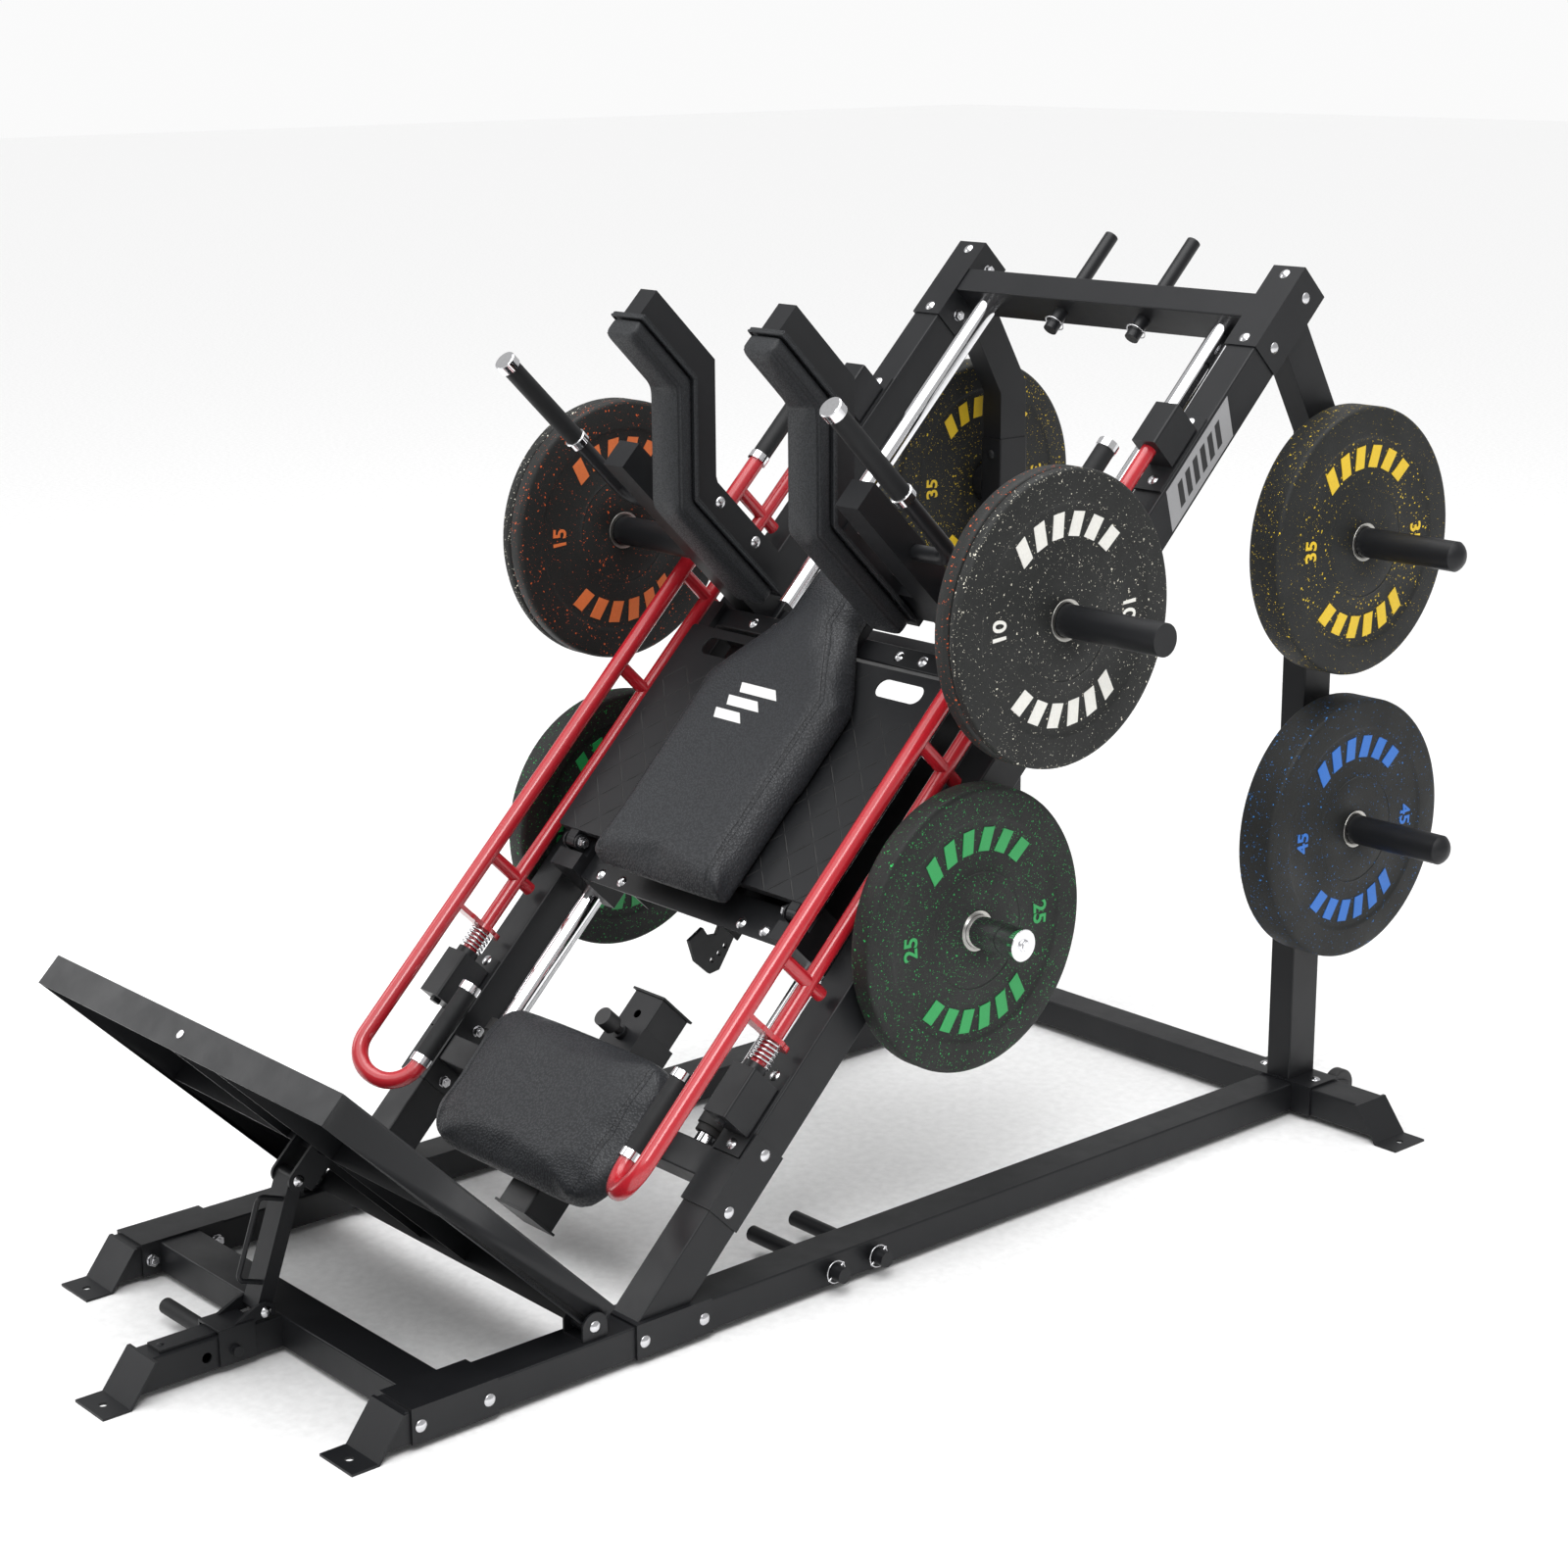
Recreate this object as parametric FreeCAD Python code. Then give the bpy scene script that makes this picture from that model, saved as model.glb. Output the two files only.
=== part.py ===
import FreeCAD, Part
import os
from math import cos, sin, tan, radians, degrees, atan2, hypot, sqrt

V = FreeCAD.Vector
os.makedirs("parts", exist_ok=True)

# ------------------------------------------------------------------ sizes, mm
# Frame of this file: X across, +Y from the foot plate to the uprights, +Z up, floor at 0.
# Sloping pieces are drawn in (x, s, h): s runs up the slope, h stands square off the rails'
# front faces. Both systems meet at (0, slope_foot_y, 0).
slope_deg = 45.0            # slope of the main rails
slope_foot_y = 410.0        # where the rails' front faces would meet the floor
rail_x = 366.0              # mid-plane to the middle of each rail
rail_w = 60.0               # main rail, across
rail_d = 70.0               # main rail, front to back
rail_top_s = 2092.0         # upper end of the main rails
rail_split_s = 284.0        # joint between the lower and the main rails
wall = 3.0                  # tube wall
plate = 4.0                 # bracket plate
edge = 3.0                  # corner radius of the square tubes

base_w = 70.0               # base tubes, across
base_h = 50.0               # base tubes, high
base_lift = 11.0            # floor to the underside of the base tubes
foot_w = 80.0               # bent foot plates, across
foot_len = 46.0             # flat part of a foot
foot_run = 43.5             # run of the sloping part of a foot
foot_hole_r = 6.5
front_beam_y = 143.0        # middle of the front crossbeam
tongue_w = 50.0
tongue_hole_y = -171.0      # floor bolt hole of the tongue's foot
rear_y = 1976.0             # middle of the rear crossbeam and the uprights
rear_half = 609.0           # mid-plane to the floor bolt holes of the rear feet

upright_w = 50.0
upright_d = 70.0
upright_wall = 2.0
upright_lean = 30.0         # lean of the upper part of each upright, from vertical
upright_bend_z = 1214.0
upright_split_z = 1120.0    # top of the lower upright
upright_plug = 80.0         # how far the upper upright goes down into the lower one

bolt_r = 5.0
bolt_head_r = 10.0
bolt_gap = 0.25             # bolt to hole, radial
open_gap = 1.5              # radial play at the strut's top pivot, where the linkage is opened
slide_gap = 0.08            # running fit, radial
part_gap = 0.4              # between pieces that move past each other

beam_s = 50.0               # sloping crossbeams, along the slope
top_beam_drop = 80.0        # top of the rails to the middle of the top crossbeam
top_beam_s = rail_top_s - top_beam_drop
low_beam_s = 348.0          # middle of the lower crossbeam
cap_len = 165.0             # U bracket on top of each rail

rod_x = 276.0               # guide rods
rod_r = 19.0
rod_h = -35.0
bumper_r = 28.0
bumper_len = 22.0
collar_len = 12.0

horn_r = 25.0               # plate horns
plate_r = 225.0             # weight plates
horn_gap = 0.3              # plate bore to horn, radial
plate_bore_r = horn_r + horn_gap
plate_hub_r = 32.5
storage_z = (1031.0, 537.0)
storage_end_x = 675.0
collar_r = 36.0
storage_collar = 22.0

bar_r = 12.5                # safety bars
bar_in_h = 48.0             # pivot tube
bar_out_h = 127.0           # handle tube
bar_bend_r = 53.5
bar_bend_s = 286.0
bar_top_s = 1620.0
bar_grip_r = 16.0
bar_grip_len = 140.0
bar_in_top_s = 1735.0
bar_return_x = 272.0        # axis of the short lower grip leg
bar_tie_s = (646.0, 1040.0, 1240.0, 1420.0)
bar_stub = 33.0

low_block_s = (403.0, 488.0)
top_block_s = (1672.0, 1750.0)
low_foot = (371.0, 514.0)   # sole plates of the blocks
top_foot = (1625.0, 1775.0)
block_w = 50.0
block_top_h = 70.0
block_foot = 5.0
spring_s = (500.0, 540.0)   # springs between the lower blocks and the bars' flanges

car_low_s = 690.0           # carriage, lower end of the bearing tubes
car_top_s = 1295.0
car_tube = 60.0
post_w = 50.0
post_s = 1266.0
post_top_h = 426.0
horn_h = 179.0              # upper plate horns
horn_end_x = 745.0
low_horn_s = 867.0          # lower plate horns
low_horn_h = -110.0
low_horn_end_x = 550.0
panel_half = 320.0          # tread platform on the carriage
panel_s = (752.0, 1172.0)
panel_h = 78.0
panel_t = 3.0
panel_lip = 16.0
slot_x = (163.0, 265.0)     # hand slots
slot_s = 1138.0
slot_r = 17.0
hinge_s = 738.0
hinge_h = 62.0
pad_t = 58.0                # back pad
arm_x = 165.0               # shoulder arms
arm_w = 40.0
arm_d = 50.0
arm_top_h = 640.0
arm_s = 1251.0
arm_knee = 337.0
board = 8.0                 # board under a shoulder pad
pad_depth = 44.0
handle_x = 391.0
handle_h = 285.0
handle_top_h = 640.0
handle_r = 12.5
grip_r = 16.0

seat_half = 225.0           # seat pad
seat_s = (190.0, 458.0)
seat_h = (5.0, 65.0)
post_half = 35.0            # seat post
post_front_h = -20.0
seat_post_s = (165.0, 560.0)
receiver_s = (300.0, 505.0)
receiver_wall = 4.0

step_half = 388.0           # big foot plate
step_s = (41.0, 91.0)
step_h = (48.0, 665.0)
step_sheet = 3.0
step_hinge_x = 369.0
step_hinge_gap = 40.0       # between the ears of a hinge bracket
step_hinge_y = 400.0
step_hinge_z = 80.0
strut_top = (148.0, 260.0)
strut_low = (82.0, 75.0)
strut_w = 40.0
strut_d = 24.0
strut_low_r = 8.0            # rounded lower end, clear of the tongue
lock_y = 28.0               # locking pin of the tongue slider
lock_step = 45.0
lock_z = 34.0
lock_r = 8.0

# derived places
base_top = base_lift + base_h
base_mid_z = base_lift + base_h / 2
rail_in = rail_x - rail_w / 2
rail_out = rail_x + rail_w / 2
low_rail_y0 = slope_foot_y + base_top
rear_front_y = rear_y - base_w / 2 - plate
foot_heel = 24.0            # hole to the bend of a foot
y_shift = -(tongue_hole_y + foot_heel - foot_len + rear_y + plate_r) / 2


# ------------------------------------------------------------------ helpers
def box(x0, x1, y0, y1, z0, z1):
    """Box between two corners, whichever way round they are given."""
    return Part.makeBox(abs(x1 - x0), abs(y1 - y0), abs(z1 - z0), V(min(x0, x1), min(y0, y1), min(z0, z1)))


def rod(a, b, r):
    """Cylinder from point a to point b."""
    a, b = V(*a), V(*b)
    return Part.makeCylinder(r, (b - a).Length, a, b - a)


def slope(shape):
    """Carry a shape drawn in (x, s, h) into the object's frame."""
    out = shape.copy()
    out.rotate(V(0, 0, 0), V(1, 0, 0), slope_deg)
    out.translate(V(0, slope_foot_y, 0))
    return out


def fuse(first, *rest):
    out = first
    for shape in rest:
        out = out.fuse(shape)
    return out.removeSplitter()


def cut(shape, *tools):
    for tool in tools:
        shape = shape.cut(tool)
    return shape


def rounded(shape, r, direction):
    """Round the long edges of a prism, the ones lying along direction."""
    picked = []
    for e in shape.Edges:
        if len(e.Vertexes) != 2:
            continue
        d = e.Vertexes[1].Point - e.Vertexes[0].Point
        if d.Length > 1e-6 and abs(abs(d.normalize().dot(V(*direction))) - 1) < 1e-6:
            picked.append(e)
    return shape.makeFillet(r, picked)


def tube(x0, x1, y0, y1, z0, z1, axis, thick=wall, r=edge):
    """Square tube along axis, open at both ends, with rounded corners."""
    direction = {"x": (1, 0, 0), "y": (0, 1, 0), "z": (0, 0, 1)}[axis]
    outer = rounded(box(x0, x1, y0, y1, z0, z1), r, direction)
    grow = [thick if axis != a else -5.0 for a in "xyz"]
    inner = box(x0 + grow[0], x1 - grow[0], y0 + grow[1], y1 - grow[1], z0 + grow[2], z1 - grow[2])
    return outer.cut(inner)


def prism(points, x0, x1):
    """Flat outline in (y, z), or (s, h), drawn out along X."""
    wire = Part.makePolygon([V(x0, p[0], p[1]) for p in points + [points[0]]])
    return Part.Face(wire).extrude(V(x1 - x0, 0, 0))


def sweep(points, r, bend):
    """Round bar through points, every corner bent to the radius bend."""
    pts = [V(*p) for p in points]
    edges, start = [], pts[0]
    for i in range(1, len(pts) - 1):
        a = (pts[i - 1] - pts[i]).normalize()
        b = (pts[i + 1] - pts[i]).normalize()
        half = a.getAngle(b) / 2
        back = bend / tan(half)
        p, q = pts[i] + a * back, pts[i] + b * back
        mid = (a + b).normalize()
        centre = pts[i] + mid * (bend / sin(half))
        edges.append(Part.makeLine(start, p))
        edges.append(Part.Arc(p, centre - mid * bend, q).toShape())
        start = q
    edges.append(Part.makeLine(start, pts[-1]))
    wire = Part.Wire(edges)
    ring = Part.Wire(Part.makeCircle(r, pts[0], pts[1] - pts[0]))
    return wire.makePipeShell([ring], True, False)


def mirror(shape):
    return shape.mirror(V(0, 0, 0), V(1, 0, 0))


def put(node, *shapes):
    """Write one node, moved so that the middle of the footprint is the origin."""
    solids = []
    for shape in shapes:
        solids += [s.copy() for s in shape.Solids]
    out = solids[0] if len(solids) == 1 else Part.makeCompound(solids)
    out.translate(V(0, y_shift, 0))
    out.exportStep("parts/%s.step" % node)


def put_pair(node, right):
    """Write a right-hand piece and its mirror image on the left."""
    put(node + "_right", right)
    put(node + "_left", mirror(right))


# ------------------------------------------------------------------ bolts
holes = []                  # clearance cylinders, cut out of every frame piece they cross
car_holes = []
frame_bolts, frame_nuts, car_bolts = [], [], []


def dome(r, high):
    """Flat-based dome standing on z = 0."""
    big = (r * r + high * high) / (2 * high)
    ball = Part.makeSphere(big, V(0, 0, high - big))
    return ball.common(box(-r, r, -r, r, 0, high)).common(rod((0, 0, 0), (0, 0, high), r))


def hexagon(r, high):
    pts = [V(r * cos(radians(60 * i)), r * sin(radians(60 * i)), 0) for i in range(7)]
    return Part.Face(Part.makePolygon(pts)).extrude(V(0, 0, high))


def aim(shape, at, along):
    """Turn a shape drawn along +Z to point along a direction, and move it."""
    out = shape.copy()
    turn = FreeCAD.Rotation(V(0, 0, 1), V(*along))
    out.Placement = FreeCAD.Placement(V(*at), turn)
    return out


def through_bolt(head, nut, sloping=False, where=None, bolts=None, nuts=None):
    """Dome bolt from its head face to its nut face, with the hole it needs."""
    a, b = V(*head), V(*nut)
    d = (b - a).normalize()
    back = (-d.x, -d.y, -d.z)
    shank = rod(a, b + d * 11.0, bolt_r)
    bolt = fuse(aim(dome(bolt_head_r, 4.5), a, back), shank)
    ring = rod(b, b + d * 2.0, 9.5)
    nut_body = aim(hexagon(9.0, 7.5), b + d * 2.0, (d.x, d.y, d.z)).fuse(ring).removeSplitter()
    nut_body = nut_body.cut(rod(b - d, b + d * 20.0, bolt_r + 0.05))
    hole = rod(a - d * 0.01, b + d * 0.01, bolt_r + bolt_gap)
    trio = [slope(s) if sloping else s for s in (bolt, nut_body, hole)]
    bolts = frame_bolts if bolts is None else bolts
    nuts = frame_nuts if nuts is None else nuts
    bolts.append(trio[0])
    nuts.append(trio[1])
    (holes if where is None else where).append(trio[2])


def drilled(shape, where=None):
    """Shape with every bolt hole that touches it."""
    for hole in holes if where is None else where:
        if shape.BoundBox.intersect(hole.BoundBox):
            shape = shape.cut(hole)
    return shape


# front crossbeam sleeves, saddles, rail sleeves, U brackets, upright base brackets
sleeve_y = (77.0, 221.0)
saddle_y = (466.0, 607.0)
sleeve_s = (284.0, 414.0)
bolt_inset = 15.0
for side in (-1, 1):
    out_x, in_x = side * (rail_x + base_w / 2 + plate), side * (rail_x - base_w / 2 - plate)
    for y in (sleeve_y[0] + bolt_inset, sleeve_y[1] - bolt_inset,
              saddle_y[0] + bolt_inset, saddle_y[1] - bolt_inset):
        through_bolt((out_x, y, base_mid_z), (in_x, y, base_mid_z))
    out_x, in_x = side * (rail_out + wall), side * (rail_in - wall)
    for s in (sleeve_s[0] + bolt_inset, sleeve_s[1] - bolt_inset):
        through_bolt((out_x, s, -rail_d / 2), (in_x, s, -rail_d / 2), True)
    for s in (rail_top_s - cap_len + 29.0, rail_top_s - 30.0):
        through_bolt((out_x, s, -rail_d / 2), (in_x, s, -rail_d / 2), True)
    for s in (rail_top_s - cap_len + 16.0, rail_top_s - 14.0):
        through_bolt((side * rail_x, s, wall), (side * rail_x, s, -rail_d), True)
    for s in (low_foot[0] + 15.0, low_foot[1] - 7.0, top_foot[0] + 20.0, top_foot[1] - 12.0):
        through_bolt((side * rail_x, s, block_foot), (side * rail_x, s, -rail_d), True)
    ear_x = (step_hinge_x + step_hinge_gap / 2 + plate, step_hinge_x - step_hinge_gap / 2 - plate)
    through_bolt((side * ear_x[0], step_hinge_y, step_hinge_z),
                 (side * ear_x[1], step_hinge_y, step_hinge_z))
    for x in (rail_x - 56.0, rail_x + 56.0):
        through_bolt((side * x, rear_y, base_top + plate), (side * x, rear_y, base_lift))

# ------------------------------------------------------------------ base
foot_rise = base_top


def foot(width, hole_y):
    """Bent foot plate pointing to -Y, its floor bolt hole at y = hole_y."""
    run, rise = foot_run, foot_rise - plate
    length = hypot(run, rise)
    ny, nz = plate * rise / length, -plate * run / length
    heel = foot_heel - plate + 0.5
    top_y = heel + run + ny + (-nz) * run / rise
    low_y = heel + ny - (plate + nz) * run / rise
    outline = [(foot_heel - foot_len, 0), (foot_heel - foot_len, plate), (heel, plate),
               (heel + run, foot_rise), (top_y, foot_rise), (low_y, 0)]
    body = prism(outline, -width / 2, width / 2)
    body = body.cut(rod((0, 0, -1), (0, 0, plate + 1), foot_hole_r))
    cutter = prism([(low_y, 0), (top_y, foot_rise), (top_y + 40 * run / rise, foot_rise + 40),
                    (-400, foot_rise + 40), (-400, -40), (low_y - 40 * run / rise, -40)],
                   -width, width)
    for shape in (body, cutter):
        shape.translate(V(0, hole_y, 0))
    return body, cutter


def footed_tube(width, half, y_end, hole_y):
    """Base tube along Y with its foot welded on the sloping front end."""
    body, cutter = foot(foot_w, hole_y)
    bar = tube(-half, half, hole_y + 10, y_end, base_lift, base_top, "y")
    return fuse(cut(bar, cutter), body)


def hinge_bracket(side):
    """U bracket for the big foot plate on top of a base rail."""
    y0, y1 = step_hinge_y - 22.0, step_hinge_y + 22.0
    wide = step_hinge_gap
    parts = [box(-wide / 2 - plate, wide / 2 + plate, y0, y1, base_top, base_top + plate)]
    for x in (-wide / 2 - plate, wide / 2):
        ear = box(x, x + plate, y0, y1, base_top, step_hinge_z)
        ear = ear.fuse(rod((x, step_hinge_y, step_hinge_z), (x + plate, step_hinge_y, step_hinge_z), 22.0))
        parts.append(ear)
    out = fuse(*parts)
    out.translate(V(side * step_hinge_x, 0, 0))
    return out


peg_y = (847.0, 935.0)
peg_r = 12.5
peg_len = 216.0
peg_end_x = 431.0
peg_holes = [rod((0, y, base_mid_z), (500, y, base_mid_z), peg_r + 0.2) for y in peg_y]
base = footed_tube(base_w, base_w / 2, rear_front_y, 0.0)
base.translate(V(rail_x, 0, 0))
base = fuse(base, hinge_bracket(1))
put_pair("base_rail", cut(drilled(base), *peg_holes))

# front crossbeam with a sleeve over each base rail
front_y = (front_beam_y - base_w / 2, front_beam_y + base_w / 2)


def wrap(x_mid, y0, y1):
    """Plate folded over the top and both sides of a base rail."""
    half = base_w / 2
    shell = box(x_mid - half - plate, x_mid + half + plate, y0, y1, base_lift, base_top + plate)
    return shell.cut(box(x_mid - half, x_mid + half, y0 - 1, y1 + 1, 0, base_top))


inner_x = rail_x - base_w / 2 - plate
front_beam = tube(-inner_x, inner_x, front_y[0], front_y[1], base_lift, base_top, "x")
front_beam = fuse(front_beam, wrap(-rail_x, *sleeve_y), wrap(rail_x, *sleeve_y))
put("front_crossbeam", drilled(front_beam))

# tongue with its guide strip and the slider's locking holes
strip = rounded(box(-18, 18, -88, 58, base_top, base_top + 5.0), 2.0, (0, 0, 1))
screw = aim(dome(6.0, 2.0), (0, -76, base_top + 5.0), (0, 0, 1))
tongue = fuse(footed_tube(tongue_w, tongue_w / 2, front_y[0], tongue_hole_y), strip, screw)
for i in range(2):
    y = lock_y - i * lock_step
    tongue = tongue.cut(rod((-60, y, lock_z), (60, y, lock_z), lock_r + slide_gap))
put("tongue_beam", tongue)

# rear crossbeam with bent feet at both ends and forks for the transport wheels
wheel_x = 417.0
wheel_r = 30.0
wheel_w = 22.0
axle_r = 5.0
wheel_y = rear_y + base_w / 2 + 36.0
wheel_z = 36.0
foot_body, foot_cut = foot(foot_w, -rear_half)
ends = []
for angle in (90, -90):
    body, cutter = foot_body.copy(), foot_cut.copy()
    for shape in (body, cutter):
        shape.rotate(V(0, 0, 0), V(0, 0, 1), angle)
        shape.translate(V(0, rear_y, 0))
    ends.append((body, cutter))
rear = tube(-rear_half, rear_half, rear_y - base_w / 2, rear_y + base_w / 2, base_lift, base_top, "x")
rear = fuse(cut(rear, ends[0][1], ends[1][1]), ends[0][0], ends[1][0])
put("rear_crossbeam", drilled(rear))
wheel = rod((wheel_x - wheel_w / 2, wheel_y, wheel_z), (wheel_x + wheel_w / 2, wheel_y, wheel_z), wheel_r)
rims = [e for e in wheel.Edges if e.Length > 1.5 * wheel_r and len(e.Vertexes) == 1]
wheel = wheel.makeFillet(4.0, rims)
wheel = wheel.cut(rod((wheel_x - wheel_w, wheel_y, wheel_z), (wheel_x + wheel_w, wheel_y, wheel_z),
                      axle_r + slide_gap))
put_pair("wheel", wheel)

# ------------------------------------------------------------------ sloping rails
low = tube(rail_in, rail_out, 0, rail_split_s, -rail_d, 0, "y")
low = slope(low).cut(box(0, 900, -500, 2000, -500, base_top + plate))
saddle = wrap(rail_x, *saddle_y)
low = fuse(low, saddle)
shell = box(rail_in - wall, rail_out + wall, sleeve_s[0] - 1, sleeve_s[1], -rail_d, wall)
shell = shell.cut(box(rail_in, rail_out, 0, 900, -rail_d - 1, 0))
shell = shell.cut(box(rail_in, rail_out, low_foot[0] - 2, 900, -1, wall + 1))
low = fuse(low, slope(shell))
put_pair("lower_rail", drilled(low))
main = tube(rail_in, rail_out, rail_split_s, rail_top_s, -rail_d, 0, "y")
put_pair("main_rail", drilled(slope(main)))

# top crossbeam with a closed U bracket over the top of each rail
beam_x = rail_in - wall
top_s = (top_beam_s - beam_s / 2, top_beam_s + beam_s / 2)
top = tube(-beam_x, beam_x, top_s[0], top_s[1], -rail_d, 0, "x")
for side in (-1, 1):
    cap = box(side * beam_x, side * (rail_out + wall), rail_top_s - cap_len, rail_top_s + wall,
              -rail_d, wall)
    top = top.fuse(cap.cut(box(side * rail_in, side * rail_out, 0, rail_top_s, -rail_d - 1, 0)))
top_peg_x = 95.0
top_peg_s = (1945.0, 1945.0 + peg_len)
for side in (-1, 1):
    x = side * top_peg_x
    top = top.cut(rod((x, 1900, rod_h), (x, 2200, rod_h), peg_r + 0.2))
put("top_crossbeam", drilled(slope(top.removeSplitter())))

# lower crossbeam with the square receiver of the seat post
low_s = (low_beam_s - beam_s / 2, low_beam_s + beam_s / 2)
beam = tube(-beam_x, beam_x, low_s[0], low_s[1], -rail_d, 0, "x")
half = post_half + part_gap
outer_h = (post_front_h + part_gap + receiver_wall,
           post_front_h - 2 * post_half - part_gap - receiver_wall)
receiver = box(-half - receiver_wall, half + receiver_wall, receiver_s[0], receiver_s[1], *outer_h)
bore = box(-half, half, receiver_s[0] - 50, receiver_s[1] + 50,
           post_front_h + part_gap, post_front_h - 2 * post_half - part_gap)
lock_s = 484.0
lock_pin_r = 7.0
lock_bore = rod((0, lock_s, post_front_h - 5), (0, lock_s, 5), lock_pin_r + slide_gap)
boss = rod((0, lock_s, outer_h[0] - 1), (0, lock_s, outer_h[0] + 9), 12.0)
beam = fuse(beam, receiver, boss).cut(bore).cut(lock_bore)
put("lower_crossbeam", slope(beam))

# guide rods, their collars and bumpers
rods = [slope(rod((side * rod_x, low_s[1], rod_h), (side * rod_x, top_s[0], rod_h), rod_r))
        for side in (-1, 1)]
put("guide_rods", *rods)
stops = []
for side in (-1, 1):
    x = side * rod_x
    stop = rod((x, low_s[1] + 18, rod_h), (x, low_s[1] + 18 + collar_len, rod_h), bumper_r - 3)
    stop = stop.fuse(rod((x, low_s[1] + 30, rod_h), (x, low_s[1] + 30 + bumper_len, rod_h), bumper_r))
    stops.append(slope(stop.cut(rod((x, 0, rod_h), (x, 900, rod_h), rod_r))))
put("rod_bumpers", *stops)

# ------------------------------------------------------------------ uprights
lean, tan_lean = radians(upright_lean), tan(radians(upright_lean))


def bent_outline(depth, low_z, bend_z):
    """Side outline of an upright: vertical, bent forward, cut along the rail's rear face."""
    k = sqrt(2.0) * rail_d
    front, back = rear_y - depth / 2, rear_y + depth / 2
    shift = depth / 2 * tan(lean / 2)
    ends = []
    for y, z in ((front, bend_z - shift), (back, bend_z + shift)):
        run = (y - slope_foot_y - k - z) / (cos(lean) + sin(lean))
        ends.append(((y, z), (y - run * sin(lean), z + run * cos(lean))))
    return [(front, low_z), ends[0][0], ends[0][1], ends[1][1], ends[1][0], (back, low_z)]


inner_w = upright_w - 2 * upright_wall - 0.4
inner_d = upright_d - 2 * upright_wall - 0.4
upper = prism(bent_outline(inner_d, upright_split_z - upright_plug, upright_bend_z),
              rail_x - inner_w / 2, rail_x + inner_w / 2)
hollow = prism(bent_outline(upright_d - 2 * upright_wall - 6.4, upright_split_z - upright_plug - 1,
                            upright_bend_z), rail_x - inner_w / 2 + 3, rail_x + inner_w / 2 - 3)
put_pair("upper_upright", upper.cut(hollow))

lower = tube(rail_x - upright_w / 2, rail_x + upright_w / 2, rear_y - upright_d / 2, rear_y + upright_d / 2,
             base_top + plate, upright_split_z, "z", upright_wall, 3.0)
base_x = (rail_x - 76.0, rail_x + 76.0)
wrap_box = box(base_x[0], base_x[1], rear_front_y, rear_y + base_w / 2 + plate,
               base_lift, base_top + plate)
wrap_box = wrap_box.cut(box(base_x[0] - 1, base_x[1] + 1, rear_y - base_w / 2, rear_y + base_w / 2,
                            0, base_top))
lower = lower.fuse(wrap_box)
for x in (wheel_x - wheel_w / 2 - 1.5 - plate, wheel_x + wheel_w / 2 + 1.5):
    fork = [(rear_y + base_w / 2 + plate, 20), (rear_y + base_w / 2 + plate, 58), (wheel_y + 10, 46),
            (wheel_y + 10, 26)]
    lower = lower.fuse(prism(fork, x, x + plate))
lower = lower.fuse(rod((wheel_x - wheel_w / 2 - 8, wheel_y, wheel_z),
                       (wheel_x + wheel_w / 2 + 8, wheel_y, wheel_z), axle_r))
for z in storage_z:
    root_x = rail_x + upright_w / 2
    horn = rod((root_x - 1, rear_y, z), (storage_end_x - 14, rear_y, z), horn_r)
    tip = aim(dome(horn_r, 14.0), (storage_end_x - 14, rear_y, z), (1, 0, 0))
    ring = rod((root_x - 1, rear_y, z), (root_x + storage_collar, rear_y, z), collar_r)
    lower = fuse(lower, horn, tip, ring)
plug = aim(dome(9.0, 4.0), (rail_x, rear_y - upright_d / 2, upright_split_z - 30), (0, -1, 0))
lower = drilled(fuse(lower, plug))
put_pair("lower_upright", lower)

# ------------------------------------------------------------------ brackets of the safety bars


def bar_bracket(block, foot_range):
    """Block on a foot plate, bored for the pivot tube of a safety bar."""
    body = box(rail_x - block_w / 2, rail_x + block_w / 2, block[0], block[1], block_foot, block_top_h)
    body = rounded(body, 4.0, (0, 1, 0))
    sole = box(rail_in + 2, rail_out - 2, foot_range[0], foot_range[1], 0, block_foot)
    out = fuse(body, sole)
    return out.cut(rod((rail_x, 0, bar_in_h), (rail_x, 2200, bar_in_h), bar_r + slide_gap))


low_block = bar_bracket(low_block_s, low_foot)
low_block = low_block.fuse(box(rail_x - 20, rail_x + 20, low_block_s[0], low_block_s[0] + 6,
                               26, block_top_h - 2))
seat_ring = rod((rail_x, low_block_s[1] - 1, bar_in_h), (rail_x, spring_s[0], bar_in_h), bar_r + 6)
seat_ring = seat_ring.cut(rod((rail_x, 400, bar_in_h), (rail_x, 600, bar_in_h), bar_r + slide_gap))
low_block = low_block.fuse(seat_ring)
cap_bolt = aim(hexagon(9.0, 7.0), (rail_x, low_block_s[0], bar_in_h), (0, -1, 0))
low_block = drilled(slope(fuse(low_block, cap_bolt)))
put("bar_brackets_lower", low_block, mirror(low_block))
top_block = drilled(slope(bar_bracket(top_block_s, top_foot)))
put("bar_brackets_upper", top_block, mirror(top_block))

# springs over the pivot tubes, held by the bars' flanges
wire_r = 1.8
turns = 5
pitch = (spring_s[1] - spring_s[0] - 2 * wire_r - 2 * part_gap) / turns
coil = Part.makeHelix(pitch, pitch * turns, bar_r + 5.5)
ring = Part.Wire(Part.makeCircle(wire_r, V(bar_r + 5.5, 0, 0), V(0, 1, 0)))
coil = Part.Wire(coil.Edges).makePipeShell([ring], True, True)
coil.rotate(V(0, 0, 0), V(1, 0, 0), -90)
coil.translate(V(rail_x, spring_s[0] + wire_r + part_gap, bar_in_h))
put("bar_springs", slope(coil), mirror(slope(coil)))

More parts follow.
